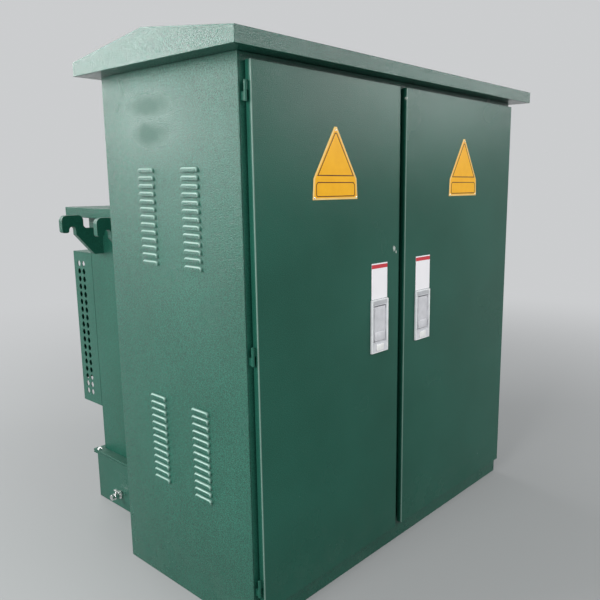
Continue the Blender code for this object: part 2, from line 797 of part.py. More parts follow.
def make_valve():
    """The drain valve on the left of the base: a flange, a body, a spindle, a lever and a plug."""
    y = TANK_BACK_Y - VALVE_BACK_INSET
    z = BASE_HEIGHT - VALVE_DROP
    steps = [
        (VALVE_FLANGE_RADIUS, VALVE_FLANGE_RADIUS, VALVE_FLANGE),
        (VALVE_NECK_RADIUS, VALVE_NECK_RADIUS, VALVE_NECK),
        (VALVE_BODY_RADIUS, VALVE_BODY_RADIUS, VALVE_BODY),
        (VALVE_NECK_RADIUS, VALVE_NECK_RADIUS, VALVE_NECK),
        (VALVE_PLUG_RADIUS, VALVE_PLUG_RADIUS, VALVE_PLUG),
    ]
    place = along(Vector((-BASE_X, y, z)), (-1, 0, 0))
    valve = turned("drain_valve", stepped(steps), place, BRIGHT_METAL, VALVE_SEGMENTS)
    stem_x = -BASE_X - VALVE_FLANGE - VALVE_NECK - VALVE_BODY / 2
    spindle = cylinder(
        "valve_spindle", (stem_x, y, z + SPINDLE_RISE / 2), (0, 0, 1), SPINDLE_RADIUS,
        SPINDLE_RISE, segments=10,
    )
    lever_top = z + SPINDLE_RISE - SPINDLE_RADIUS / 2
    lever = box(
        "valve_lever",
        (stem_x - VALVE_LEVER_WIDTH / 2, y - VALVE_LEVER_REACH, lever_top - VALVE_LEVER_THICKNESS),
        (stem_x + VALVE_LEVER_WIDTH / 2, y + VALVE_LEVER_TAIL, lever_top),
    )
    join(valve, spindle, lever)
    return valve


def make_hv_bushing(number, x):
    """A high-voltage bushing: a well on a flange, closed by a moulded plug with a collar."""
    steps = [
        (HV_FLANGE_RADIUS, HV_FLANGE_RADIUS, HV_FLANGE),
        (HV_WELL_RADIUS, HV_WELL_RADIUS - MOULD_TAPER, HV_WELL_DEPTH),
        (HV_COLLAR_RADIUS, HV_COLLAR_RADIUS, HV_COLLAR),
        (HV_PLUG_RADIUS, HV_PLUG_RADIUS - MOULD_TAPER, HV_PLUG_DEPTH),
    ]
    place = along(Vector((x, TANK_FRONT_Y, TANK_TOP - HV_BUSHING_DROP)), (0, -1, 0))
    return turned(f"hv_bushing_{number}", stepped(steps), place, BLACK_RUBBER)


def make_lv_bushing(number, x):
    """A low-voltage bushing: a ribbed body and a flat terminal with two holes."""
    z = TANK_TOP - LV_BUSHING_DROP
    body_half = (LV_BODY_DEPTH - LV_SHED) / 2
    steps = [
        (LV_FLANGE_RADIUS, LV_FLANGE_RADIUS, LV_FLANGE),
        (LV_BODY_RADIUS, LV_BODY_RADIUS, body_half),
        (LV_SHED_RADIUS, LV_BODY_RADIUS, LV_SHED),
        (LV_BODY_RADIUS, LV_BODY_RADIUS - MOULD_TAPER, body_half),
        (LV_STUD_RADIUS, LV_STUD_RADIUS, LV_STUD_DEPTH),
    ]
    place = along(Vector((x, TANK_FRONT_Y, z)), (0, -1, 0))
    bushing = turned(f"lv_bushing_{number}", stepped(steps), place, TERMINAL_METAL)
    stud_tip = TANK_FRONT_Y - SEAT - LV_FLANGE - LV_BODY_DEPTH - LV_STUD_DEPTH
    tip = stud_tip + SPADE_LAP - SPADE_LENGTH
    spade = box(
        f"spade_{number}",
        (x - SPADE_THICKNESS / 2, tip, z - SPADE_HEIGHT / 2),
        (x + SPADE_THICKNESS / 2, stud_tip + SPADE_LAP, z + SPADE_HEIGHT / 2),
    )
    join(bushing, spade)
    for row in (0, 1):
        hole_y = tip + SPADE_HOLE_EDGE + SPADE_HOLE_PITCH * row
        hole = cylinder(
            f"spade_hole_{number}_{row}", (x, hole_y, z), (1, 0, 0), SPADE_HOLE_RADIUS,
            3 * SPADE_THICKNESS, segments=12,
        )
        cut(bushing, hole)
    return bushing


def hinge_axis(side):
    return side * (HALF_WIDTH - HINGE_INSET), DOOR_FACE_Y + HINGE_INSET


def make_hinge(side, name, height):
    """The fixed half of a hinge: a leaf on the post, a knuckle and its pin."""
    x, y = hinge_axis(side)
    pin_height = 2 * KNUCKLE_HEIGHT
    hinge = cylinder(
        name, (x, y, height - KNUCKLE_HEIGHT / 2), (0, 0, 1), KNUCKLE_RADIUS, KNUCKLE_HEIGHT,
        PAINT,
    )
    leaf = box(
        name + "_leaf",
        (x - HINGE_LEAF / 2, y, height - KNUCKLE_HEIGHT + HINGE_LEAF_MARGIN),
        (x + HINGE_LEAF / 2, FRAME_Y - SEAT, height - HINGE_LEAF_MARGIN),
    )
    pin = cylinder(
        name + "_pin", (x, y, height), (0, 0, 1), HINGE_PIN_RADIUS, pin_height - 2 * PIN_PLAY
    )
    join(hinge, leaf, pin)
    return hinge


def make_door(side, name):
    """An overlay door: a folded pan with ribs, knuckles and a cut-out for its lock."""
    hinge_edge, free_edge = door_edges(side)
    low_x, high_x = min(hinge_edge, free_edge), max(hinge_edge, free_edge)
    back = DOOR_FACE_Y + DOOR_DEPTH
    pivot_x, pivot_y = hinge_axis(side)
    door = box(name, (low_x, DOOR_FACE_Y, DOOR_BOTTOM), (high_x, back, DOOR_TOP), PAINT)
    cavity = box(
        name + "_cavity",
        (low_x + SHEET, DOOR_FACE_Y + SHEET, DOOR_BOTTOM + SHEET),
        (high_x - SHEET, back - SHEET, DOOR_TOP - SHEET),
    )
    edge = SHEET + DOOR_RETURN
    mouth = box(
        name + "_mouth",
        (low_x + edge, back - 2 * SHEET, DOOR_BOTTOM + edge),
        (high_x - edge, back + SHEET, DOOR_TOP - edge),
    )
    cut(door, cavity, mouth)
    rib_heights = ((DOOR_BOTTOM + LOCK_BOTTOM) / 2, (LOCK_TOP + DOOR_TOP) / 2)
    for number, height in enumerate(rib_heights, 1):
        rib = box(
            f"{name}_rib_{number}",
            (low_x + SHEET / 2, DOOR_FACE_Y + SHEET / 2, height - RIB_WIDTH / 2),
            (high_x - SHEET / 2, DOOR_FACE_Y + RIB_DEPTH, height + RIB_WIDTH / 2),
        )
        join(door, rib)
    middle = LOCK_MIDDLES[side]
    reach = LOCK_WIDTH / 2 - LOCK_BODY_MARGIN + SEAT
    lock_hole = box(
        name + "_lock_hole",
        (middle - reach, DOOR_FACE_Y - SHEET, LOCK_BOTTOM + LOCK_BODY_MARGIN - SEAT),
        (middle + reach, back + SHEET, LOCK_TOP - LOCK_BODY_MARGIN + SEAT),
    )
    cut(door, lock_hole)
    for number, height in enumerate(HINGE_HEIGHTS, 1):
        low_z = height + PIN_PLAY
        knuckle = cylinder(
            f"{name}_knuckle_{number}",
            (pivot_x, pivot_y, low_z + KNUCKLE_HEIGHT / 2),
            (0, 0, 1),
            KNUCKLE_RADIUS,
            KNUCKLE_HEIGHT,
        )
        arm_ends = (pivot_x, hinge_edge - side * SHEET)
        arm = box(
            f"{name}_arm_{number}",
            (min(arm_ends), pivot_y - HINGE_LEAF / 2, low_z + HINGE_LEAF_MARGIN),
            (max(arm_ends), pivot_y + HINGE_LEAF / 2, low_z + KNUCKLE_HEIGHT - HINGE_LEAF_MARGIN),
        )
        bore = cylinder(
            f"{name}_bore_{number}",
            (pivot_x, pivot_y, low_z + KNUCKLE_HEIGHT / 2),
            (0, 0, 1),
            HINGE_PIN_RADIUS + PIN_PLAY,
            KNUCKLE_HEIGHT * 1.5,
        )
        join(door, knuckle, arm)
        cut(door, bore)
    hang_on(door, (pivot_x, pivot_y, 0))
    return door


def hang_on(item, point):
    """Moves a solid's origin to its joint without moving the solid."""
    bpy.context.view_layer.update()
    shift = Vector(point) - item.matrix_world.translation
    item.data.transform(Matrix.Translation(-shift))
    item.location = Vector(item.location) + shift


def lever_pivot():
    """The lever's axis, as Y and Z."""
    lever_top = LOCK_TOP - RECESS_TOP_RAIL - RUN
    lever_front = DOOR_FACE_Y - LEVER_FRONT
    return lever_front + LEVER_THICKNESS / 2, lever_top - LEVER_PIN_DROP


def make_lock(side, name):
    """A flush lock housing: a rim on the door's face, a body through it and a recess."""
    middle = LOCK_MIDDLES[side]
    half = LOCK_WIDTH / 2
    front = DOOR_FACE_Y - LOCK_PROUD
    lock = box(
        name,
        (middle - half, front, LOCK_BOTTOM),
        (middle + half, DOOR_FACE_Y - SEAT, LOCK_TOP),
        ZINC,
    )
    round_edges(lock, EDGE_ROUND)
    margin = LOCK_BODY_MARGIN
    body = box(
        name + "_body",
        (middle - half + margin, DOOR_FACE_Y - 2 * SHEET, LOCK_BOTTOM + margin),
        (middle + half - margin, DOOR_FACE_Y + LOCK_BODY_DEPTH, LOCK_TOP - margin),
    )
    recess = box(
        name + "_recess",
        (middle - RECESS_WIDTH / 2, front - SHEET, LOCK_BOTTOM + RECESS_FOOT_RAIL),
        (middle + RECESS_WIDTH / 2, DOOR_FACE_Y + RECESS_FLOOR, LOCK_TOP - RECESS_TOP_RAIL),
    )
    pivot_y, pivot_z = lever_pivot()
    bore = cylinder(
        name + "_bore",
        (middle, pivot_y, pivot_z),
        (1, 0, 0),
        LEVER_PIN_RADIUS + PIN_PLAY,
        RECESS_WIDTH + 2 * (LEVER_PIN_HOLD + PIN_PLAY),
        segments=12,
    )
    button = box(
        name + "_button",
        (middle - BUTTON_SIZE / 2, front - BUTTON_PROUD, LOCK_BOTTOM + BUTTON_FOOT),
        (middle + BUTTON_SIZE / 2, front + SHEET, LOCK_BOTTOM + BUTTON_FOOT + BUTTON_SIZE),
    )
    join(lock, body, button)
    cut(lock, recess, bore)
    return lock


def make_lever(side, name):
    """The lever of a lock, on its cross pin."""
    middle = LOCK_MIDDLES[side]
    half = RECESS_WIDTH / 2 - RUN
    pivot_y, pivot_z = lever_pivot()
    front = pivot_y - LEVER_THICKNESS / 2
    foot = LOCK_BOTTOM + RECESS_FOOT_RAIL + RUN
    lever = box(
        name,
        (middle - half, front, foot),
        (middle + half, front + LEVER_THICKNESS, pivot_z + LEVER_PIN_DROP),
        ZINC,
    )
    round_edges(lever, EDGE_ROUND)
    grip = box(
        name + "_grip",
        (middle - half + GRIP_MARGIN, front - GRIP_PROUD, foot + GRIP_FOOT),
        (middle + half - GRIP_MARGIN, front + SHEET, foot + GRIP_FOOT + GRIP_HEIGHT),
    )
    pin = cylinder(
        name + "_pin",
        (middle, pivot_y, pivot_z),
        (1, 0, 0),
        LEVER_PIN_RADIUS,
        RECESS_WIDTH + 2 * LEVER_PIN_HOLD,
        segments=12,
    )
    join(lever, grip, pin)
    hang_on(lever, (middle, pivot_y, pivot_z))
    return lever


clear_scene()
PARTS = new_collection("power_transformer")
CUTTERS = new_collection("cutters")
PAINT = new_material("green_paint", (0.035, 0.150, 0.110), 0.38, 0.0)
INSIDE_PAINT = new_material("inside_paint", (0.055, 0.170, 0.130), 0.50, 0.0)
ZINC = new_material("zinc_grey", (0.55, 0.56, 0.58), 0.40, 0.6)
BRIGHT_METAL = new_material("bright_metal", (0.62, 0.62, 0.60), 0.30, 0.9)
BLACK_RUBBER = new_material("black_rubber", (0.015, 0.015, 0.016), 0.60, 0.0)
TERMINAL_METAL = new_material("terminal_metal", (0.50, 0.30, 0.20), 0.35, 0.9)

make_frame()
make_back_panel()
make_barrier()
make_roof()
make_tank()
make_lid()
make_flanges()
make_hooks()
make_fins()
make_guard_top()
make_guard_cover()
make_valve()
for index in range(HV_BUSHING_COUNT):
    make_hv_bushing(index + 1, -WINDOW_EDGE + HV_BUSHING_EDGE + HV_BUSHING_PITCH * index)
for index in range(LV_BUSHING_COUNT):
    steps_in = LV_BUSHING_COUNT - 1 - index
    make_lv_bushing(index + 1, WINDOW_EDGE - LV_BUSHING_EDGE - LV_BUSHING_PITCH * steps_in)
for hand, word in ((-1, "left"), (1, "right")):
    make_side_wall(hand, f"side_wall_{word}")
    make_guard_side(hand, f"guard_{word}")
    make_door(hand, f"door_{word}")
    make_lock(hand, f"lock_{word}")
    make_lever(hand, f"handle_{word}")
    for index, hinge_height in enumerate(HINGE_HEIGHTS, 1):
        make_hinge(hand, f"hinge_{word}_{index}", hinge_height)
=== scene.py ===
"""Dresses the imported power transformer: materials, fine sheet work, fittings, light and camera.

Everything is in metres, in the frame of the CAD. The front faces -Y and the floor is z = 0.
"""
import math

import bmesh
import bpy
from mathutils import Matrix, Vector


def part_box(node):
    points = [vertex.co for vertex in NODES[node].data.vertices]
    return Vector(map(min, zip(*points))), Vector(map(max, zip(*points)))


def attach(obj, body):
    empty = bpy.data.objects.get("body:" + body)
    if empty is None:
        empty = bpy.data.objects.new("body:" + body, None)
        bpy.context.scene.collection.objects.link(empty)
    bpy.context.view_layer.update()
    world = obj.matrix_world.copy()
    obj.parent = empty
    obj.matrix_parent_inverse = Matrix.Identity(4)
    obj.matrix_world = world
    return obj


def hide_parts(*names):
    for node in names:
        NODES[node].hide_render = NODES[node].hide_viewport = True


# Camera, from the photograph's vanishing lines and the cabinet's corners
CAMERA_PLACE = (-2.0207, -2.1183, 1.4414)
CAMERA_YAW = 49.5655
CAMERA_PITCH = -10.2908
CAMERA_ROLL = -0.0776
CAMERA_LENS = 38.79
CAMERA_SHIFT = -0.0833
CAMERA_NEAR = 0.05
SENSOR = 36.0

# Light and surroundings. A lamp has a name, a place, a target, a width, a height and its watts
AMBIENT = (0.27, 0.28, 0.29)
BACKDROP = (0.60, 0.61, 0.62)
FLOOR_TONE = (0.35, 0.36, 0.36)
FLOOR_GLOW = 0.14
FLOOR_FADE_FROM = 1.2
FLOOR_FADE_TO = 6.0
FLOOR_HALF = 40.0
FLOOR_DROP = 0.0006
LAMPS = (
    ("key_left", (-3.9, -0.9, 2.5), (-0.8, -0.3, 1.3), 1.6, 2.0, 70),
    ("left_strip", (-4.0, -1.7, 1.75), (-0.8, -0.5, 1.4), 0.5, 1.3, 42),
    ("window_far_left", (-4.1, 3.3, 2.85), (-0.8, -0.3, 1.5), 2.6, 2.3, 235),
    ("window_behind", (0.5, 5.2, 3.2), (0.0, 0.6, 0.9), 4.2, 3.2, 150),
    ("window_far_right", (5.1, -4.6, 3.2), (0.2, -0.7, 1.4), 2.8, 2.0, 145),
    ("front_fill", (0.2, -5.0, 3.7), (0.0, -0.7, 1.2), 2.4, 1.6, 85),
)

# The body that stands still, the gap under a laid piece and the margin of a comparison
FIXED = "cabinet_and_tank"
LAY = 0.0001
HAIR = 0.00001

# Rounding of the CAD nodes' edges
WELD_GAP = 0.00002
SOFT_ANGLE = 32.0
NORMAL_WEIGHT = 60

# Side walls: pressed sheet with rolled edges
SHEET = 0.003
WALL_ROLL = 0.0025
WALL_SMOOTH = 38
ROLL_STEPS = (0.0, 0.12, 0.35, 0.65, 1.0)

# Louvres: RISE and DROP run up and down from a row's own height to the head and the mouth
LOUVRE_COLUMNS = (-0.434, -0.197)
LOUVRE_BANKS = (0.396, 1.1762)
LOUVRE_ROWS = 13
LOUVRE_PITCH = 0.0254
LOUVRE_WIDTH = 0.090
LOUVRE_REACH = 0.008
LOUVRE_HEAD = 0.90
LOUVRE_RISE = 0.0090
LOUVRE_DROP = 0.0062
LOUVRE_ROUND = 0.0120
LOUVRE_FOLD = 0.0050
LOUVRE_SLIT = 0.0006
LOUVRE_GUARD = 0.0008
SIDE_STEPS = (-LOUVRE_GUARD, 0.0, 0.0006, 0.0016, 0.0030, 0.0048, 0.0066, 0.0090, 0.0120)
HEAD_STEPS = (-LOUVRE_GUARD, 0.0, 0.0006, 0.0016, 0.0030, 0.0048, 0.0068, 0.0092, 0.0118)

# The painted highlight along a louvre's shoulder: a pale line in place of the gleam of its fold
CREST_PLACE = 0.0028
CREST_WIDTH = 0.0034
CREST_HEAD = 0.0050
CREST_FADE = 0.0050
CREST_SIDES = 0.30

# Sign plates: heights, half widths and how far each layer stands out from the door
SIGN_APEX = 1.617
SIGN_SHOULDER = 1.455
SIGN_FOOT = 1.387
SIGN_HALF = 0.104
SIGN_TIP = 0.006
SIGN_RIM = 0.0062
SIGN_MARGIN = 0.0105
RIM_FRONT = 0.0016
FIELD_FRONT = 0.0021
FIELD_BACK = 0.0015
LINE_FRONT = 0.0024
LINE_BACK = 0.0020
TRIANGLE_FOOT = 0.07525
TRIANGLE_HEAD = 0.0185
TRIANGLE_TIP = 0.0045
TRIANGLE_LINE = 0.0034
PANEL_FOOT = 0.0095
PANEL_HEAD = 0.05635
PANEL_NICK_HEAD = 0.0080
PANEL_NICK_FOOT = 0.0048
PANEL_LINE = 0.0030
RIVET_SIDE = 0.0075
RIVET_FOOT = 0.0060
RIVET_HEAD = 0.0105
RIVET = ((0, 0), (0.0030, 0), (0.0028, 0.0007), (0.0018, 0.0012), (0, 0.0014))

# Labels over the locks, and their red band
LABEL_FOOT = 1.0265
LABEL_FRONT = 0.0008
BAND_SIDE = 0.0005
BAND_HEAD = 0.0045
BAND_FOOT = 0.0185
BAND_FRONT = 0.0011
BAND_BACK = 0.0007

# Locks, as the CAD has them: the button and the grip stand proud of the faces
BUTTON_PROUD = 0.002
GRIP_PROUD = 0.003
LEVER_HALF = 0.033
RECESS_HALF = 0.038
# Lock trim
RAIL_INSET = 0.0004
RAIL_WIDTH = 0.0048
RAIL_FRONT = 0.0022
RAIL_BEVEL = 0.0010
END_INSET = 0.0054
END_WIDTH = 0.0030
END_FRONT = 0.0016
END_BEVEL = 0.0006
HEAD_SIDE = 0.0085
HEAD_TOP = 0.0048
HEAD_FOOT = 0.0185
HEAD_FRONT = 0.0010
HEAD_BEVEL = 0.0005
BUTTON_HALF = 0.0205
BUTTON_FOOT = 0.0075
BUTTON_TOP = 0.0305
BUTTON_FRONT = 0.0036
BUTTON_BEVEL = 0.0012
LINER_PLAY = 0.0010
LINER_FRONT = 0.0035
LINER_BACK = 0.0150
LINER_FOOT = 0.0048
LINER_SILL = 0.0022
LINER_TOP = 0.0095
LINER_BEVEL = 0.0006
PAD_HALF = 0.0295
PAD_FOOT = 0.0010
PAD_RISE = 0.0330
PAD_FRONT = 0.0034
PAD_BEVEL = 0.0014
GRIP_HALF = 0.0290
GRIP_FOOT = 0.0370
GRIP_TOP = 0.0075
GRIP_FRONT = 0.0007
GRIP_BEVEL = 0.0004

# Door seals, measured in from each door's box, which takes in its hinge knuckles
SEAL_WIDTH = 0.010
SEAL_FRONT = 0.0036
SEAL_BEVEL = 0.0012
SEAL_HINGE_SIDE = 0.0315
SEAL_FREE_SIDE = 0.012
SEAL_END = 0.014

# Bolts, screws, caps and rings
FLANGE_BOLT = 0.013
FLANGE_EDGE = 0.014
FLANGE_FRONT = 0.060
FLANGE_BACK = 0.030
FLANGE_END = 0.090
FLANGE_REAR_BOLTS = 7
KNUCKLE_RADIUS = 0.005
HINGE_CAP = ((0, 0.0011), (0.0046, 0.0011), (0.0046, 0.0018), (0.0034, 0.0027), (0, 0.0030))
COVER_SCREW = ((0, 0), (0.0052, 0), (0.0050, 0.0012), (0.0036, 0.0024), (0, 0.0029))
COVER_SIDE = 0.0300
COVER_END = 0.045
COVER_ROWS = 3
CLAMP_RING = (
    (0.0395, 0.0128), (0.0570, 0.0128), (0.0570, 0.0150), (0.0560, 0.0160),
    (0.0430, 0.0160), (0.0395, 0.0150), (0.0395, 0.0128),
)
BUSHING_BOLT = 0.009
HV_BOLTS = (6, 0.0500, 0.0160)
LV_BOLTS = (4, 0.0410, 0.0123)

# Paint: tones, grain, and how much each kind of wear and each painted highlight, glint and sheen
# changes it
DEEP_GREEN = (0.0105, 0.078, 0.052)
LIGHT_GREEN = (0.0145, 0.096, 0.066)
DUST = (0.150, 0.180, 0.150)
FILM_AND_SHEEN = (0.110, 0.190, 0.160)
MARK_TONE = (0.030, 0.090, 0.066)
# Pale tone of the painted highlight on louvre shoulders
CREST_HIGHLIGHT_TONE = (0.400, 0.620, 0.540)
# Pale tone of the painted highlight on door edges
EDGE_HIGHLIGHT_TONE = (0.240, 0.360, 0.310)
CHIP_TONE = (0.50, 0.54, 0.50)
LEVEL = (0.5, 0.5, 0.5)
GRAIN_SCALE = 310.0
GRAIN_HEIGHT = 0.0016
FLECK_PAINTED_SHADE = 0.38
FLECK_PAINTED_GLINT = 0.46
DUST_HEIGHT = 0.30
DUST_SHARE = 0.08
DUST_ROUGH = 0.6
SETTLED_SHARE = (0.03, 0.10)
SETTLED_ROUGH = 0.44
CREST_HIGHLIGHT_SHARE = 0.80
FILM_AND_SHEEN_SHARE = 0.40
MARK_SHARE = 0.70
MARK_ROUGH = 0.32
MARK_FLAT = 0.40
EDGE_HIGHLIGHT_SHARE = 0.65
EDGE_NEAR = (0.0015, 0.0045)
EDGE_FRONT = (-0.6955, -0.6980)

# Wear, and a film with painted sheen, that the photograph shows, as centres and radii, and the
# door edges that carry a painted highlight
WALL_MARKS = (
    ((-0.80, -0.228, 1.682), (0.05, 0.105, 0.034)),
    ((-0.80, -0.232, 1.597), (0.05, 0.082, 0.038)),
)
# A pale oval round the smudges, partly a wiped film and partly painted sheen
WALL_FILM_AND_SHEEN = (((-0.80, -0.232, 1.632), (0.05, 0.175, 0.115)),)
LEFT_CHIPS = (
    ((-0.1040, -0.700, 1.203), (0.0072, 0.01, 0.0090)),
    ((-0.0925, -0.700, 1.190), (0.0034, 0.01, 0.0060)),
)
RIGHT_CHIPS = (((-0.037, -0.700, 1.742), (0.0035, 0.01, 0.006)),)
LEFT_HIGHLIT_EDGES = (-0.778,)
RIGHT_HIGHLIT_EDGES = (-0.037,)


# Building blocks


def mesh_from(name, work):
    mesh = bpy.data.meshes.new(name)
    work.to_mesh(mesh)
    work.free()
    return mesh


def smooth_by_angle(mesh, degrees):
    mesh.polygons.foreach_set("use_smooth", [True] * len(mesh.polygons))
    mesh.set_sharp_from_angle(angle=math.radians(degrees))


def add_piece(name, mesh, material, body):
    """Adds a piece in place and lets it ride on a body."""
    item = bpy.data.objects.new(name, mesh)
    bpy.context.scene.collection.objects.link(item)
    mesh.materials.clear()
    mesh.materials.append(material)
    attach(item, body)
    return item


def add_work(name, work, material, body, smooth=None):
    """Adds a bmesh as a piece, smooth up to an angle in degrees where one is given."""
    mesh = mesh_from(name, work)
    if smooth is not None:
        smooth_by_angle(mesh, smooth)
    add_piece(name, mesh, material, body)


def add_block(work, low, high, bevel, segments=2):
    """Adds an upright block with rounded edges to a bmesh."""
    low, high = Vector(low), Vector(high)
    made = bmesh.ops.create_cube(work, size=1.0)["verts"]
    bmesh.ops.scale(work, vec=high - low, verts=made)
    bmesh.ops.translate(work, vec=(low + high) / 2, verts=made)
    edges = list({edge for corner in made for edge in corner.link_edges})
    bmesh.ops.bevel(
        work, geom=edges, offset=bevel, segments=segments, profile=0.5, affect="EDGES"
    )


def add_prism(work, corners, low_y, high_y, bevel=0.0):
    """Adds a plate to a bmesh, from its outline in X and Z and its two Y faces."""
    front = [work.verts.new((x, low_y, z)) for x, z in corners]
    back = [work.verts.new((x, high_y, z)) for x, z in corners]
    count = len(corners)
    faces = [work.faces.new(front), work.faces.new(list(reversed(back)))]
    for i in range(count):
        j = (i + 1) % count
        faces.append(work.faces.new((front[j], front[i], back[i], back[j])))
    bmesh.ops.recalc_face_normals(work, faces=faces)
    if bevel > 0:
        front_edges = [
            edge for edge in {e for v in front for e in v.link_edges}
            if edge.verts[0] in front and edge.verts[1] in front
        ]
        bmesh.ops.bevel(
            work, geom=front_edges, offset=bevel, segments=2, profile=0.5, affect="EDGES"
        )


def add_turned(work, profile, place, segments):
    """Adds a solid turned about Z from (radius, height) points, placed by a matrix."""
    rings = []
    for radius, height in profile:
        ring = []
        if radius < 1e-7:
            ring = [work.verts.new(place @ Vector((0, 0, height)))]
        else:
            for i in range(segments):
                turn = 2 * math.pi * i / segments
                spot = Vector((radius * math.cos(turn), radius * math.sin(turn), height))
                ring.append(work.verts.new(place @ spot))
        rings.append(ring)
    faces = []
    for lower, upper in zip(rings, rings[1:]):
        for i in range(segments):
            j = (i + 1) % segments
            corners = [lower[i % len(lower)], lower[j % len(lower)]]
            corners += [upper[j % len(upper)], upper[i % len(upper)]]
            unique = []
            for corner in corners:
                if corner not in unique:
                    unique.append(corner)
            if len(unique) > 2:
                faces.append(work.faces.new(unique))
    bmesh.ops.recalc_face_normals(work, faces=faces)


def turn_to(origin, direction):
    """A matrix that stands Z along a direction, at an origin."""
    turn = Vector((0, 0, 1)).rotation_difference(Vector(direction))
    return Matrix.Translation(origin) @ turn.to_matrix().to_4x4()


def add_bolt(work, origin, direction, size, washer=True):
    """Adds a hex bolt head with the end of its stud, on a washer or straight on a surface."""
    place = turn_to(origin, direction)
    base = 0.0
    if washer:
        base = size * 0.14
        radius = size * 0.72
        disc = [(0, 0), (radius, 0), (radius, base * 0.7), (radius * 0.95, base), (0, base)]
        add_turned(work, disc, place, 20)
    half = size / 2 / math.cos(math.pi / 6)
    top = base + size * 0.42
    head = [(0, base), (half, base), (half, top - size * 0.09), (half * 0.84, top), (0, top)]
    add_turned(work, head, place, 6)
    end = top + size * 0.12
    stud = [(0, top), (size * 0.27, top), (size * 0.25, end), (0, end)]
    add_turned(work, stud, place, 16)


def soften(item, width, segments):
    """Rounds the edges of a CAD node, whose own mesh stays as it is."""
    weld = item.modifiers.new("Weld", "WELD")
    weld.merge_threshold = WELD_GAP
    bevel = item.modifiers.new("Edges", "BEVEL")
    bevel.width = width
    bevel.segments = segments
    bevel.limit_method = "ANGLE"
    bevel.angle_limit = math.radians(SOFT_ANGLE)
    bevel.use_clamp_overlap = True
    normals = item.modifiers.new("Normals", "WEIGHTED_NORMAL")
    normals.keep_sharp = False
    normals.weight = NORMAL_WEIGHT


def dress(nodes, material, width=0.0, segments=2):
    """Gives CAD nodes a material, and rounds their edges where a width is given."""
    for node in nodes:
        item = NODES[node]
        for place in item.material_slots:
            place.material = material
        if width > 0:
            soften(item, width, segments)


# Materials


class Shader:
    """A small builder for one Principled material."""

    def __init__(self, name):
        self.material = bpy.data.materials.new(name)
        self.material.use_nodes = True
        self.tree = self.material.node_tree
        self.surface = self.tree.nodes["Principled BSDF"]
        self.coords = self.tree.nodes.new("ShaderNodeTexCoord").outputs["Object"]

    def add(self, kind, **settings):
        node = self.tree.nodes.new(kind)
        for key, value in settings.items():
            setattr(node, key, value)
        return node

    def put(self, value, socket):
        """Links a socket's output to another socket, or writes a plain value there."""
        if isinstance(value, bpy.types.NodeSocket):
            self.tree.links.new(value, socket)
        elif isinstance(value, (tuple, list)) and len(value) == 3 and socket.type == "RGBA":
            socket.default_value = (*value, 1.0)
        else:
            socket.default_value = value

    def set(self, socket, value):
        self.put(value, self.surface.inputs[socket])

    def noise(self, scale, detail=2.0, roughness=0.5, vector=None):
        node = self.add("ShaderNodeTexNoise")
        self.put(self.coords if vector is None else vector, node.inputs["Vector"])
        node.inputs["Scale"].default_value = scale
        node.inputs["Detail"].default_value = detail
        node.inputs["Roughness"].default_value = roughness
        return node.outputs["Fac"]

    def vector(self, operation, value, other=None):
        """A vector worked out from a vector and, for most operations, a fixed one."""
        node = self.add("ShaderNodeVectorMath", operation=operation)
        self.put(value, node.inputs[0])
        if other is not None:
            node.inputs[1].default_value = other
        return node.outputs["Value" if operation == "LENGTH" else "Vector"]

    def span(self, value, low, high, to_low=0.0, to_high=1.0, smooth=False):
        """A value mapped from one range to another, and held within it."""
        node = self.add("ShaderNodeMapRange")
        if smooth:
            node.interpolation_type = "SMOOTHSTEP"
        self.put(value, node.inputs["Value"])
        node.inputs["From Min"].default_value = low
        node.inputs["From Max"].default_value = high
        node.inputs["To Min"].default_value = to_low
        node.inputs["To Max"].default_value = to_high
        return node.outputs["Result"]

    def maths(self, operation, a, b=0.0):
        node = self.add("ShaderNodeMath", operation=operation)
        self.put(a, node.inputs[0])
        self.put(b, node.inputs[1])
        return node.outputs[0]

    def times(self, a, b):
        return self.maths("MULTIPLY", a, b)

    def plus(self, a, b):
        return self.maths("ADD", a, b)

    def mix(self, factor, a, b, blend="MIX"):
        node = self.add("ShaderNodeMix", data_type="RGBA", blend_type=blend)
        self.put(factor, node.inputs[0])
        self.put(a, node.inputs[6])
        self.put(b, node.inputs[7])
        return node.outputs[2]

    def axis(self, name, vector=None):
        """One coordinate of the object, or of another vector."""
        node = self.add("ShaderNodeSeparateXYZ")
        self.put(self.coords if vector is None else vector, node.inputs[0])
        return node.outputs[name]

    def upward(self):
        """1 on a face that looks up, 0 on an upright one."""
        return self.axis("Z", self.add("ShaderNodeNewGeometry").outputs["Normal"])

    def spot(self, centre, radii, ragged, scale, soft=0.2):
        """1 inside a ragged oval about a point and 0 outside it."""
        away = self.vector("SUBTRACT", self.coords, centre)
        length = self.vector("LENGTH", self.vector("DIVIDE", away, radii))
        rough = self.span(self.noise(scale, 3.0, 0.6), 0.3, 0.7, -ragged, ragged)
        return self.span(self.plus(length, rough), 0.9 + soft, 0.9 - soft, smooth=True)

    def bump(self, height, distance, strength=1.0):
        node = self.add("ShaderNodeBump")
        node.inputs["Distance"].default_value = distance
        node.inputs["Strength"].default_value = strength
        self.put(height, node.inputs["Height"])
        return node.outputs["Normal"]


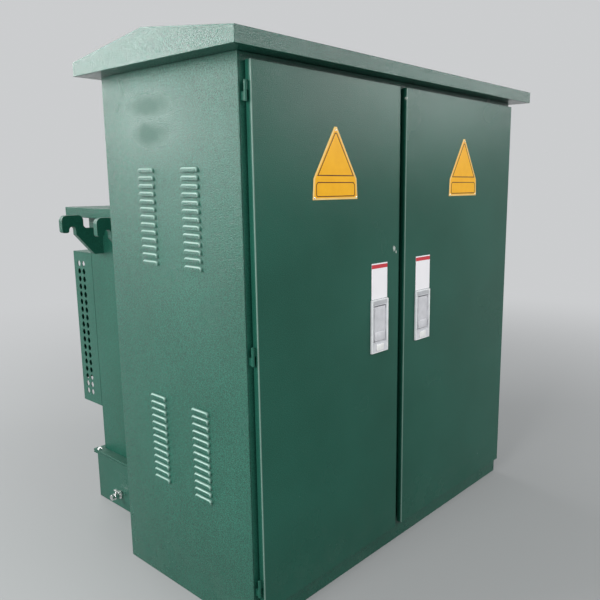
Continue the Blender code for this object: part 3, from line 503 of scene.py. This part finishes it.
def paint(name, grain, gloss, sheen=0.22, marks=(), film_and_sheen=(), chips=(), edges=(), crest_highlights=False):
    """Hammered green enamel: a pimpled grain with painted glints and shade, slow changes of tone,
    settled dust and wear, painted highlights on louvre shoulders and door edges, and painted
    sheen round smudges.
    """
    s = Shader(name)
    slow = s.noise(1.9, 3.0, 0.55)
    tone = s.mix(s.span(slow, 0.35, 0.65), DEEP_GREEN, LIGHT_GREEN)
    fine = s.noise(GRAIN_SCALE, 2.0, 0.55)
    # Painted glints and shade of the grain: paler on the pimples' tops, darker between them
    grain_glints_and_shade = s.span(fine, 0.32, 0.68, 1 - FLECK_PAINTED_SHADE * grain, 1 + FLECK_PAINTED_GLINT * grain)
    tone = s.mix(1.0, tone, grain_glints_and_shade, "MULTIPLY")
    rough = s.span(s.noise(5.0), 0.2, 0.8, sheen, sheen + 0.06, smooth=True)
    height = fine
    low = s.span(s.axis("Z"), DUST_HEIGHT, 0.0)
    patches = s.span(s.noise(11.0, 4.0, 0.65), 0.42, 0.72)
    dust = s.times(s.times(low, patches), DUST_SHARE)
    tone = s.mix(dust, tone, DUST)
    rough = s.plus(rough, s.times(dust, DUST_ROUGH))
    settled = s.span(s.upward(), 0.55, 0.95)
    tone = s.mix(s.times(settled, s.span(patches, 0.0, 1.0, *SETTLED_SHARE)), tone, DUST)
    rough = s.plus(rough, s.times(settled, SETTLED_ROUGH))
    # Painted highlight: louvre shoulders turn pale where the mesh's crest attribute is high
    if crest_highlights:
        highlight = s.add("ShaderNodeAttribute", attribute_name="crest_highlight").outputs["Fac"]
        tone = s.mix(s.times(highlight, CREST_HIGHLIGHT_SHARE), tone, CREST_HIGHLIGHT_TONE)
        height = s.mix(highlight, height, LEVEL)
    # Painted sheen, partly a wiped film: a pale oval round the smudges
    for centre, radii in film_and_sheen:
        haze_and_sheen = s.times(s.spot(centre, radii, 0.0, 9.0, 0.85), FILM_AND_SHEEN_SHARE)
        tone = s.mix(haze_and_sheen, tone, FILM_AND_SHEEN)
    for centre, radii in marks:
        core = s.spot(centre, radii, 0.30, 12.0, 0.5)
        tone = s.mix(s.times(core, MARK_SHARE), tone, MARK_TONE)
        rough = s.plus(rough, s.times(core, MARK_ROUGH))
        height = s.mix(s.times(core, MARK_FLAT), height, LEVEL)
    # Painted highlight: a pale line along the rounded front of each given door edge
    for place in edges:
        off = s.maths("ABSOLUTE", s.maths("SUBTRACT", s.axis("X"), place))
        near = s.span(off, *EDGE_NEAR, 1.0, 0.0, smooth=True)
        front = s.span(s.axis("Y"), *EDGE_FRONT, smooth=True)
        tone = s.mix(s.times(s.times(near, front), EDGE_HIGHLIGHT_SHARE), tone, EDGE_HIGHLIGHT_TONE)
    for centre, radii in chips:
        tone = s.mix(s.spot(centre, radii, 0.5, 240.0), tone, CHIP_TONE)
    s.set("Base Color", tone)
    s.set("Roughness", rough)
    s.set("Specular IOR Level", gloss)
    s.set("Normal", s.bump(height, GRAIN_HEIGHT * grain))
    return s.material


def inside_paint(name):
    """Satin green of the barrier, without the hammered grain."""
    s = Shader(name)
    slow = s.noise(2.6, 3.0)
    tone = s.mix(s.span(slow, 0.35, 0.65), (0.030, 0.125, 0.092), (0.042, 0.150, 0.112))
    s.set("Base Color", tone)
    s.set("Roughness", s.span(s.noise(9.0, 3.0), 0.3, 0.7, 0.42, 0.55))
    s.set("Normal", s.bump(s.noise(320.0), 0.0003, 0.3))
    return s.material


def zinc(name, base, metallic=0.1, roughness=(0.30, 0.42)):
    """Satin die-cast zinc with a faint brushed run and finger marks."""
    s = Shader(name)
    run = s.noise(60.0, 3.0, 0.6, s.vector("MULTIPLY", s.coords, (12.0, 12.0, 0.8)))
    cloud = s.noise(34.0, 3.0, 0.6)
    darker = tuple(c * 0.86 for c in base)
    s.set("Base Color", s.mix(s.span(cloud, 0.35, 0.68), darker, base))
    s.set("Metallic", metallic)
    s.set("Roughness", s.span(run, 0.25, 0.75, *roughness))
    s.set("Normal", s.bump(run, 0.0001, 0.25))
    return s.material


def bright_steel(name):
    """Plated steel of bolts, screws, rings and the valve."""
    s = Shader(name)
    base = (0.80, 0.81, 0.80)
    cloud = s.noise(120.0, 3.0, 0.6)
    darker = tuple(c * 0.82 for c in base)
    s.set("Base Color", s.mix(s.span(cloud, 0.35, 0.7), darker, base))
    s.set("Metallic", 1.0)
    s.set("Roughness", s.span(s.noise(45.0, 4.0), 0.3, 0.7, 0.16, 0.30))
    s.set("Normal", s.bump(s.noise(400.0), 0.0001, 0.3))
    return s.material


def enamel(name, base, second, scale=30.0):
    """A smooth coat, for plates and labels."""
    s = Shader(name)
    s.set("Base Color", s.mix(s.span(s.noise(scale, 3.0), 0.3, 0.7), base, second))
    s.set("Roughness", s.span(s.noise(scale * 2.5), 0.3, 0.7, 0.30, 0.42))
    s.set("Specular IOR Level", 0.2)
    s.set("Normal", s.bump(s.noise(scale * 9.0), 0.0001, 0.15))
    return s.material


def rubber(name):
    """Black rubber with a grey bloom."""
    s = Shader(name)
    bloom = s.span(s.noise(26.0, 4.0, 0.6), 0.40, 0.75)
    s.set("Base Color", s.mix(bloom, (0.012, 0.012, 0.013), (0.034, 0.034, 0.035)))
    s.set("Roughness", s.span(s.noise(70.0, 3.0), 0.3, 0.7, 0.48, 0.68))
    s.set("Normal", s.bump(s.noise(500.0), 0.0002, 0.3))
    return s.material


def resin(name):
    """Red-brown cast resin of the low-voltage bushings."""
    s = Shader(name)
    cloud = s.span(s.noise(18.0, 3.0), 0.3, 0.7)
    s.set("Base Color", s.mix(cloud, (0.115, 0.030, 0.022), (0.150, 0.042, 0.030)))
    s.set("Roughness", s.span(s.noise(60.0), 0.3, 0.7, 0.22, 0.34))
    s.set("Normal", s.bump(s.noise(300.0), 0.0001, 0.2))
    return s.material


# Side walls


def hood_depth(u, v):
    """How far inside a louvre's outline a place lies, or 0 outside it."""
    side = LOUVRE_WIDTH / 2 - abs(u)
    head = LOUVRE_RISE - v
    if side <= 0 or head <= 0 or v < -LOUVRE_DROP - HAIR:
        return 0.0
    into = min(side, head)
    if side < LOUVRE_ROUND and head < LOUVRE_ROUND:
        into = LOUVRE_ROUND - math.hypot(LOUVRE_ROUND - side, LOUVRE_ROUND - head)
    return max(into, 0.0)


def hood(u, v):
    """How far a pressed louvre stands out, at a place along and across it."""
    fold = math.sqrt(1 - (1 - min(hood_depth(u, v) / LOUVRE_FOLD, 1.0)) ** 2)
    lean = (LOUVRE_RISE - v) / (LOUVRE_RISE + LOUVRE_DROP)
    return LOUVRE_REACH * (LOUVRE_HEAD + (1 - LOUVRE_HEAD) * lean) * fold


def crest_highlight(u, v):
    """The painted highlight on a louvre: 1 on the stretched shoulder of its head, less down its
    sides, 0 on flat sheet.
    """
    depth = hood_depth(u, v)
    if depth <= 0:
        return 0.0
    down = min(max((LOUVRE_RISE - v - CREST_HEAD) / CREST_FADE, 0.0), 1.0)
    strength = 1 - (1 - CREST_SIDES) * down
    return strength * max(0.0, 1 - abs(depth - CREST_PLACE) / CREST_WIDTH)


def wall_lines(low, high, rows):
    """The grid of a wall: where its lines run along Y and across Z."""
    along = []
    across = [low.z, high.z]
    for share in ROLL_STEPS:
        along += [low.y + WALL_ROLL * share, high.y - WALL_ROLL * share]
    half = LOUVRE_WIDTH / 2
    for centre in LOUVRE_COLUMNS:
        for inset in SIDE_STEPS:
            along += [centre - half + inset, centre + half - inset]
        along += [centre - half / 3, centre + half / 3]
    for row in rows:
        across += [row + LOUVRE_RISE - drop for drop in HEAD_STEPS]
        mouth = row - LOUVRE_DROP
        slit = mouth - LOUVRE_SLIT
        across += [mouth, slit, slit - LOUVRE_GUARD]
    return sorted({round(y, 6) for y in along}), sorted({round(z, 6) for z in across})


def pressed_wall(side, name, material):
    """A side wall as one pressed sheet with four banks of open louvres."""
    low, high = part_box(name)
    outer = side * (max(abs(low.x), abs(high.x)) - LOUVRE_REACH)
    rows = [first + LOUVRE_PITCH * i for first in LOUVRE_BANKS for i in range(LOUVRE_ROWS)]
    along, across = wall_lines(low, high, rows)

    work = bmesh.new()
    # Each vertex holds how much of a louvre's painted highlight lies on it
    highlight = work.verts.layers.float.new("crest_highlight")
    grid = []
    for z in across:
        row_near = min(rows, key=lambda r: abs(z - r - (LOUVRE_RISE - LOUVRE_DROP) / 2))
        line = []
        for y in along:
            column = min(LOUVRE_COLUMNS, key=lambda c: abs(y - c))
            edge = 1 - min(y - low.y, high.y - y, WALL_ROLL) / WALL_ROLL
            out = hood(y - column, z - row_near)
            out -= WALL_ROLL * (1 - math.sqrt(max(0.0, 1 - edge * edge)))
            vert = work.verts.new((outer + side * out, y, z))
            vert[highlight] = crest_highlight(y - column, z - row_near)
            line.append(vert)
        grid.append(line)
    slits = {round(row - LOUVRE_DROP - LOUVRE_SLIT, 6) for row in rows}
    for k in range(len(across) - 1):
        for i in range(len(along) - 1):
            middle = (along[i] + along[i + 1]) / 2
            near = min(abs(middle - c) for c in LOUVRE_COLUMNS)
            if across[k] in slits and near < LOUVRE_WIDTH / 2:
                continue
            corners = [grid[k][i], grid[k][i + 1], grid[k + 1][i + 1], grid[k + 1][i]]
            work.faces.new(corners if side > 0 else list(reversed(corners)))

    source = bpy.data.objects.new(name + "_source", mesh_from(name + "_source", work))
    bpy.context.scene.collection.objects.link(source)
    thick = source.modifiers.new("Sheet", "SOLIDIFY")
    thick.thickness = SHEET
    thick.offset = -1.0
    thick.use_even_offset = False
    bpy.context.view_layer.update()
    graph = bpy.context.evaluated_depsgraph_get()
    mesh = bpy.data.meshes.new_from_object(source.evaluated_get(graph))
    bpy.data.objects.remove(source, do_unlink=True)
    mesh.name = name + "_pressed"
    smooth_by_angle(mesh, WALL_SMOOTH)
    wall = add_piece(name + "_pressed", mesh, material, FIXED)
    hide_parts(name)


# Plates, labels and locks


def mirrored(centre_x, right):
    """A closed outline, anticlockwise, from its right half, which runs up from the foot."""
    left = [(-x, z) for x, z in reversed(right)]
    return [(centre_x + x, z) for x, z in left[-1:] + right + left[:-1]]


def inset_outline(corners, distance):
    """An outline moved inwards by a distance. The corners run anticlockwise."""
    count = len(corners)
    lines = []
    for i in range(count):
        a, b = Vector(corners[i]), Vector(corners[(i + 1) % count])
        direction = (b - a).normalized()
        inward = Vector((-direction.y, direction.x))
        lines.append((a + inward * distance, direction))
    result = []
    for i in range(count):
        (p, d), (q, e) = lines[i - 1], lines[i]
        cross = d.x * e.y - d.y * e.x
        step = ((q.x - p.x) * e.y - (q.y - p.y) * e.x) / cross
        result.append((p.x + d.x * step, p.y + d.y * step))
    return result


def add_frame_line(work, corners, width):
    """Adds a thin flat line to a bmesh, just inside an outline on a sign's field."""
    inner = inset_outline(corners, width)
    count = len(corners)
    for i in range(count):
        j = (i + 1) % count
        strip = [corners[i], corners[j], inner[j], inner[i]]
        add_prism(work, strip, DOOR_FACE - LINE_FRONT, DOOR_FACE - LINE_BACK)


def sign_plate(name, centre_x, half_foot, body):
    """A bare yellow plate: a pale folded edge, a triangle and a panel framed by thin lines."""

    def half_at(z):
        """Half the plate's width at a height."""
        if z > SIGN_SHOULDER:
            slope = (SIGN_HALF - SIGN_TIP) / (SIGN_APEX - SIGN_SHOULDER)
            return SIGN_HALF - (z - SIGN_SHOULDER) * slope
        share = (z - SIGN_FOOT) / (SIGN_SHOULDER - SIGN_FOOT)
        return half_foot - (half_foot - SIGN_HALF) * share

    rim = mirrored(
        centre_x, [(half_foot, SIGN_FOOT), (SIGN_HALF, SIGN_SHOULDER), (SIGN_TIP, SIGN_APEX)]
    )
    work = bmesh.new()
    add_prism(work, rim, DOOR_FACE - RIM_FRONT, DOOR_FACE - LAY, 0.0010)
    add_work(name + "_rim", work, PALE_YELLOW, body)
    work = bmesh.new()
    field = inset_outline(rim, SIGN_RIM)
    add_prism(work, field, DOOR_FACE - FIELD_FRONT, DOOR_FACE - FIELD_BACK, 0.0003)
    add_work(name + "_field", work, YELLOW, body)

    foot, head = SIGN_FOOT + TRIANGLE_FOOT, SIGN_APEX - TRIANGLE_HEAD
    triangle = mirrored(centre_x, [(half_at(foot) - SIGN_MARGIN, foot), (TRIANGLE_TIP, head)])
    foot, head = SIGN_FOOT + PANEL_FOOT, SIGN_FOOT + PANEL_HEAD
    half = half_at(head) - SIGN_MARGIN
    panel = mirrored(
        centre_x,
        [
            (half - PANEL_NICK_FOOT, foot),
            (half, foot + PANEL_NICK_FOOT),
            (half, head - PANEL_NICK_HEAD),
            (half - PANEL_NICK_HEAD, head),
        ],
    )
    work = bmesh.new()
    add_frame_line(work, triangle, TRIANGLE_LINE)
    add_frame_line(work, panel, PANEL_LINE)
    add_work(name + "_lines", work, BROWN, body)

    work = bmesh.new()
    for x, z in (
        (centre_x - half_foot + RIVET_SIDE, SIGN_FOOT + RIVET_FOOT),
        (centre_x + half_foot - RIVET_SIDE, SIGN_FOOT + RIVET_FOOT),
        (centre_x, SIGN_APEX - RIVET_HEAD),
    ):
        add_turned(work, RIVET, turn_to((x, DOOR_FACE - LINE_BACK, z), (0, -1, 0)), 16)
    add_work(name + "_rivets", work, STEEL, body, 40)


def label(name, low_x, high_x, head, body):
    """A bare white label with a red band at its head, on the door above the lock."""
    work = bmesh.new()
    add_block(
        work,
        (low_x, DOOR_FACE - LABEL_FRONT, LABEL_FOOT),
        (high_x, DOOR_FACE - LAY, head),
        0.0003,
        1,
    )
    add_work(name, work, WHITE_LABEL, body)
    work = bmesh.new()
    add_block(
        work,
        (low_x + BAND_SIDE, DOOR_FACE - BAND_FRONT, head - BAND_FOOT),
        (high_x - BAND_SIDE, DOOR_FACE - BAND_BACK, head - BAND_HEAD),
        0.0001,
        1,
    )
    add_work(name + "_band", work, RED_BAND, body)


def lock_trim(word, body, lever_body):
    """Rim, head band, button and liner of a lock, and the raised pad and grip of its lever."""
    low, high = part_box(f"lock_{word}")
    lever_low, lever_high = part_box(f"handle_{word}")
    face = low.y + BUTTON_PROUD
    lever_face = lever_low.y + GRIP_PROUD
    middle = (low.x + high.x) / 2

    work = bmesh.new()
    for x in (low.x + RAIL_INSET, high.x - RAIL_INSET - RAIL_WIDTH):
        add_block(
            work,
            (x, face - RAIL_FRONT, low.z + RAIL_INSET),
            (x + RAIL_WIDTH, face - LAY, high.z - RAIL_INSET),
            RAIL_BEVEL,
            3,
        )
    for z in (low.z + RAIL_INSET, high.z - RAIL_INSET - END_WIDTH):
        add_block(
            work,
            (low.x + END_INSET, face - END_FRONT, z),
            (high.x - END_INSET, face - LAY, z + END_WIDTH),
            END_BEVEL,
        )
    add_work(f"lock_rim_{word}", work, RIM_PAINTED_REFLECTION, body, 40)

    work = bmesh.new()
    add_block(
        work,
        (low.x + HEAD_SIDE, face - HEAD_FRONT, high.z - HEAD_FOOT),
        (high.x - HEAD_SIDE, face - LAY, high.z - HEAD_TOP),
        HEAD_BEVEL,
    )
    add_work(f"lock_head_{word}", work, GREY_BAND, body)

    work = bmesh.new()
    add_block(
        work,
        (middle - BUTTON_HALF, face - BUTTON_FRONT, low.z + BUTTON_FOOT),
        (middle + BUTTON_HALF, face - LAY, low.z + BUTTON_TOP),
        BUTTON_BEVEL,
        3,
    )
    add_work(f"lock_button_{word}", work, PALE_ZINC, body, 30)

    work = bmesh.new()
    front, back, foot = face + LINER_FRONT, face + LINER_BACK, lever_low.z - LINER_FOOT
    inner, outer = LEVER_HALF + LINER_PLAY, RECESS_HALF - LAY
    for near, far in ((-outer, -inner), (inner, outer)):
        add_block(
            work,
            (middle + near, front, foot),
            (middle + far, back, lever_high.z - LINER_TOP),
            LINER_BEVEL,
        )
    add_block(
        work,
        (middle - LEVER_HALF, front, foot),
        (middle + LEVER_HALF, back, lever_low.z - LINER_SILL),
        LINER_BEVEL,
    )
    add_work(f"lock_liner_{word}", work, LEVER_GREY, body)

    work = bmesh.new()
    foot = lever_low.z + PAD_FOOT
    add_block(
        work,
        (middle - PAD_HALF, lever_face - PAD_FRONT, foot),
        (middle + PAD_HALF, lever_face - LAY, foot + PAD_RISE),
        PAD_BEVEL,
        3,
    )
    add_work(f"lever_foot_{word}", work, LEVER_GREY, lever_body, 30)

    work = bmesh.new()
    add_block(
        work,
        (middle - GRIP_HALF, lever_face - GRIP_FRONT, lever_low.z + GRIP_FOOT),
        (middle + GRIP_HALF, lever_face - LAY, lever_high.z - GRIP_TOP),
        GRIP_BEVEL,
    )
    add_work(f"lever_panel_{word}", work, LEVER_GREY, lever_body)


# Seals, bolts and rings


def seals():
    """Sponge seals on the frame, round both doorways."""
    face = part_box("cabinet_frame")[0].y
    for word, low_inset, high_inset in (
        ("left", SEAL_HINGE_SIDE, SEAL_FREE_SIDE),
        ("right", SEAL_FREE_SIDE, SEAL_HINGE_SIDE),
    ):
        low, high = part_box(f"door_{word}")
        left, right = low.x + low_inset, high.x - high_inset
        foot, head = low.z + SEAL_END, high.z - SEAL_END
        front, back = face - SEAL_FRONT, face - LAY
        work = bmesh.new()
        for z in (foot, head - SEAL_WIDTH):
            add_block(work, (left, front, z), (right, back, z + SEAL_WIDTH), SEAL_BEVEL)
        for x in (left, right - SEAL_WIDTH):
            add_block(
                work,
                (x, front, foot + SEAL_WIDTH + LAY),
                (x + SEAL_WIDTH, back, head - SEAL_WIDTH - LAY),
                SEAL_BEVEL,
            )
        add_work(f"door_seal_{word}", work, RUBBER, FIXED)


def flange_bolts():
    """Bolts that clamp the tank's flange to the base, with their heads up."""
    low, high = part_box("tank_flange")
    work = bmesh.new()
    for side in (-1, 1):
        for y in (low.y + FLANGE_FRONT, high.y - FLANGE_BACK):
            add_bolt(work, (side * (high.x - FLANGE_EDGE), y, high.z), (0, 0, 1), FLANGE_BOLT)
    reach = high.x - FLANGE_END
    for i in range(FLANGE_REAR_BOLTS):
        x = -reach + 2 * reach * i / (FLANGE_REAR_BOLTS - 1)
        add_bolt(work, (x, high.y - FLANGE_EDGE, high.z), (0, 0, 1), FLANGE_BOLT)
    add_work("flange_bolts", work, STEEL, FIXED, 25)


def hinge_caps():
    """Domed caps on the doors' knuckles."""
    for side in ("left", "right"):
        work = bmesh.new()
        for number in (1, 2, 3):
            low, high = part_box(f"hinge_{side}_{number}")
            place = Matrix.Translation(((low.x + high.x) / 2, low.y + KNUCKLE_RADIUS, high.z))
            add_turned(work, HINGE_CAP, place, 20)
        add_work(f"hinge_caps_{side}", work, HINGE_PAINT, f"{side}_door", 30)


def cover_bolts():
    """Low round-headed screws along both ends of the guard's rear cover."""
    low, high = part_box("guard_cover")
    foot, rise = low.z + COVER_END, high.z - low.z - 2 * COVER_END
    work = bmesh.new()
    for side in (-1, 1):
        for i in range(COVER_ROWS):
            spot = (side * (high.x - COVER_SIDE), high.y, foot + rise * i / (COVER_ROWS - 1))
            add_turned(work, COVER_SCREW, turn_to(spot, (0, 1, 0)), 20)
    add_work("cover_bolts", work, STEEL, FIXED, 25)


def bushing_trim():
    """Clamp rings of the high-voltage bushings, and the bolts of all bushings."""
    work = bmesh.new()
    for bushings, (count, circle, seat), ring in (
        (HV_BUSHINGS, HV_BOLTS, CLAMP_RING),
        (LV_BUSHINGS, LV_BOLTS, None),
    ):
        for bushing in bushings:
            low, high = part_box(bushing)
            centre = Vector(((low.x + high.x) / 2, high.y, (low.z + high.z) / 2))
            if ring:
                add_turned(work, ring, turn_to(centre, (0, -1, 0)), 40)
            for i in range(count):
                turn = math.pi * (2 * i + 1) / count
                out = Vector((circle * math.cos(turn), -seat, circle * math.sin(turn)))
                add_bolt(work, centre + out, (0, -1, 0), BUSHING_BOLT, washer=False)
    add_work("bushing_rings", work, STEEL, FIXED, 30)


# Light, camera and surroundings


def add_lamp(name, place, target, width, height, power):
    data = bpy.data.lights.new(name, "AREA")
    data.shape = "RECTANGLE"
    data.size = width
    data.size_y = height
    data.energy = power
    lamp = bpy.data.objects.new(name, data)
    lamp.location = place
    direction = Vector(target) - Vector(place)
    lamp.rotation_euler = direction.to_track_quat("-Z", "Y").to_euler()
    bpy.context.scene.collection.objects.link(lamp)
    lamp.visible_camera = False


def add_camera():
    yaw, pitch, roll = (math.radians(a) for a in (CAMERA_YAW, CAMERA_PITCH, CAMERA_ROLL))
    forward = Vector(
        (math.sin(yaw) * math.cos(pitch), math.cos(yaw) * math.cos(pitch), math.sin(pitch))
    )
    level = forward.cross(Vector((0, 0, 1))).normalized()
    raised = level.cross(forward)
    right = level * math.cos(roll) + raised * math.sin(roll)
    up = raised * math.cos(roll) - level * math.sin(roll)
    data = bpy.data.cameras.new("camera")
    data.lens = CAMERA_LENS
    data.sensor_width = SENSOR
    data.shift_x = CAMERA_SHIFT
    data.clip_start = CAMERA_NEAR
    camera = bpy.data.objects.new("camera", data)
    turn = Matrix((right, up, -forward)).transposed().to_4x4()
    camera.matrix_world = Matrix.Translation(CAMERA_PLACE) @ turn
    bpy.context.scene.collection.objects.link(camera)
    bpy.context.scene.camera = camera


def seen_directly(tree):
    """1 for what the camera, a glossy surface or a clear one sees, and 0 for soft light."""
    path = tree.nodes.new("ShaderNodeLightPath")
    seen = path.outputs["Is Camera Ray"]
    for kind in ("Is Glossy Ray", "Is Transmission Ray"):
        either = tree.nodes.new("ShaderNodeMath")
        either.operation = "MAXIMUM"
        tree.links.new(seen, either.inputs[0])
        tree.links.new(path.outputs[kind], either.inputs[1])
        seen = either.outputs[0]
    return seen


def add_world():
    """A soft even sky: the ambient light, and the pale backdrop that eyes and gloss see."""
    world = bpy.data.worlds.new("studio")
    world.use_nodes = True
    tree = world.node_tree
    tree.nodes.clear()
    both = tree.nodes.new("ShaderNodeMixShader")
    tree.links.new(seen_directly(tree), both.inputs[0])
    for index, colour in ((1, AMBIENT), (2, BACKDROP)):
        light = tree.nodes.new("ShaderNodeBackground")
        light.inputs["Color"].default_value = (*colour, 1.0)
        tree.links.new(light.outputs[0], both.inputs[index])
    output = tree.nodes.new("ShaderNodeOutputWorld")
    tree.links.new(both.outputs[0], output.inputs[0])
    bpy.context.scene.world = world


def add_floor():
    """A pale floor that fades into the backdrop far from the object."""
    s = Shader("studio_floor")
    s.set("Base Color", FLOOR_TONE)
    s.set("Roughness", 0.85)
    s.set("Specular IOR Level", 0.1)
    away = s.vector("LENGTH", s.coords)
    fade = s.span(away, FLOOR_FADE_FROM, FLOOR_FADE_TO, FLOOR_GLOW, 1.0, smooth=True)
    glow = s.add("ShaderNodeEmission")
    s.put(BACKDROP, glow.inputs["Color"])
    both = s.add("ShaderNodeMixShader")
    s.put(s.times(fade, seen_directly(s.tree)), both.inputs[0])
    s.put(s.surface.outputs[0], both.inputs[1])
    s.put(glow.outputs[0], both.inputs[2])
    s.put(both.outputs[0], s.tree.nodes["Material Output"].inputs["Surface"])
    work = bmesh.new()
    bmesh.ops.create_grid(work, x_segments=1, y_segments=1, size=FLOOR_HALF)
    bmesh.ops.translate(work, vec=(0, 0, -FLOOR_DROP), verts=work.verts)
    floor = bpy.data.objects.new("floor", mesh_from("floor", work))
    floor.data.materials.append(s.material)
    bpy.context.scene.collection.objects.link(floor)


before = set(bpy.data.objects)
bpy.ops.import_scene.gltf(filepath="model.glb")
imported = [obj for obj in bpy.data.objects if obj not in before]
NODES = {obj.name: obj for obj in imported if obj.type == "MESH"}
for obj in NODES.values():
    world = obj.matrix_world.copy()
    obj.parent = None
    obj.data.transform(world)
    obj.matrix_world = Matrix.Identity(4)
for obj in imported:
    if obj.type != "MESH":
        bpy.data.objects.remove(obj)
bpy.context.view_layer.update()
DOOR_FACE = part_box("door_left")[0].y
HANDS = ("left", "right")
HOOKS = [f"lifting_hook_{hand}_{end}" for hand in HANDS for end in ("front", "rear")]
HINGES = [f"hinge_{hand}_{index}" for hand in HANDS for index in (1, 2, 3)]
HV_BUSHINGS = [f"hv_bushing_{index}" for index in (1, 2, 3)]
LV_BUSHINGS = [f"lv_bushing_{index}" for index in (1, 2, 3, 4)]

# Paint takes its name, the strength of its grain and of the grain's painted glints and shade, its
# gloss and its sheen
PAINT = paint("green_paint_tank", 0.7, 0.32)
WALL_PAINT = paint(
    "green_paint_left_wall", 1.2, 0.44, marks=WALL_MARKS, film_and_sheen=WALL_FILM_AND_SHEEN, crest_highlights=True
)
RIGHT_PAINT = paint("green_paint_right_wall", 1.2, 0.44, crest_highlights=True)
ROOF_PAINT = paint("green_paint_roof", 1.2, 0.62, 0.14)
HINGE_PAINT = paint("green_paint_hinges", 0.5, 0.20, 0.34)
DOOR_PAINT_LEFT = paint(
    "green_paint_left_door", 0.4, 0.22, chips=LEFT_CHIPS, edges=LEFT_HIGHLIT_EDGES
)
DOOR_PAINT_RIGHT = paint(
    "green_paint_right_door", 0.4, 0.22, chips=RIGHT_CHIPS, edges=RIGHT_HIGHLIT_EDGES
)
INSIDE = inside_paint("inside_paint_satin")
ZINC = zinc("zinc_housing", (0.76, 0.77, 0.80))
LEVER_GREY = zinc("zinc_lever", (0.72, 0.72, 0.75))
PALE_ZINC = zinc("zinc_pale", (0.93, 0.93, 0.91), 0.0, (0.28, 0.38))
GREY_BAND = zinc("zinc_band", (0.54, 0.55, 0.57))
# The rims' near-white base with a green tinge is a painted reflection of polished metal mirroring
# the green paint
RIM_PAINTED_REFLECTION = zinc("zinc_rim_painted_reflection", (0.93, 0.96, 0.95), 0.0, (0.20, 0.30))
STEEL = bright_steel("plated_steel")
RUBBER = rubber("black_rubber_seal")
RESIN = resin("bushing_resin")
YELLOW = enamel("sign_yellow", (0.90, 0.43, 0.004), (0.95, 0.48, 0.008))
PALE_YELLOW = enamel("sign_edge", (0.90, 0.58, 0.16), (0.94, 0.66, 0.26))
BROWN = enamel("sign_lines", (0.085, 0.022, 0.005), (0.120, 0.032, 0.006))
WHITE_LABEL = enamel("label_white", (0.96, 0.94, 0.96), (0.93, 0.92, 0.94), 14.0)
RED_BAND = enamel("label_red", (0.58, 0.040, 0.055), (0.64, 0.062, 0.075))

# Nodes, material, and the width and segments of their rounded edges
dress(("tank", "tank_base"), PAINT, 0.004, 3)
dress(("tank_lid",), PAINT, 0.0022, 3)
dress(("base_flange", "tank_flange"), PAINT, 0.0012)
dress(("base_gasket",), RUBBER, 0.0005, 1)
dress(HOOKS, PAINT, 0.0028, 3)
dress(("radiator_fins", "cabinet_frame"), PAINT, 0.0016)
dress(("fin_tie_lower", "fin_tie_upper", "guard_left", "guard_right", "guard_cover"), PAINT)
dress(("guard_top",), PAINT, 0.0010)
dress(("back_panel",), PAINT, 0.0008, 1)
dress(("roof",), ROOF_PAINT, 0.0016)
dress(("barrier",), INSIDE, 0.0008, 1)
dress(("drain_valve",), STEEL, 0.0008)
dress(("door_left",), DOOR_PAINT_LEFT, 0.0032, 4)
dress(("door_right",), DOOR_PAINT_RIGHT, 0.0032, 4)
dress(("lock_left", "lock_right"), ZINC, 0.0007)
dress(("handle_left", "handle_right"), LEVER_GREY, 0.0007)
dress(HINGES, HINGE_PAINT)
dress(HV_BUSHINGS, RUBBER, 0.0015)
dress(LV_BUSHINGS, RESIN, 0.0010)

pressed_wall(-1, "side_wall_left", WALL_PAINT)
pressed_wall(1, "side_wall_right", RIGHT_PAINT)
sign_plate("sign_left", -0.427, 0.109, "left_door")
sign_plate("sign_right", 0.371, 0.108, "right_door")
label("label_left", -0.238, -0.146, 1.157, "left_door")
label("label_right", 0.036, 0.133, 1.160, "right_door")
for hand in HANDS:
    lock_trim(hand, f"{hand}_door", f"{hand}_lever")
seals()
flange_bolts()
hinge_caps()
cover_bolts()
bushing_trim()

add_floor()
add_camera()
add_world()
for lamp in LAMPS:
    add_lamp(*lamp)

scene = bpy.context.scene
scene.view_settings.view_transform = "Standard"

bpy.context.view_layer.update()
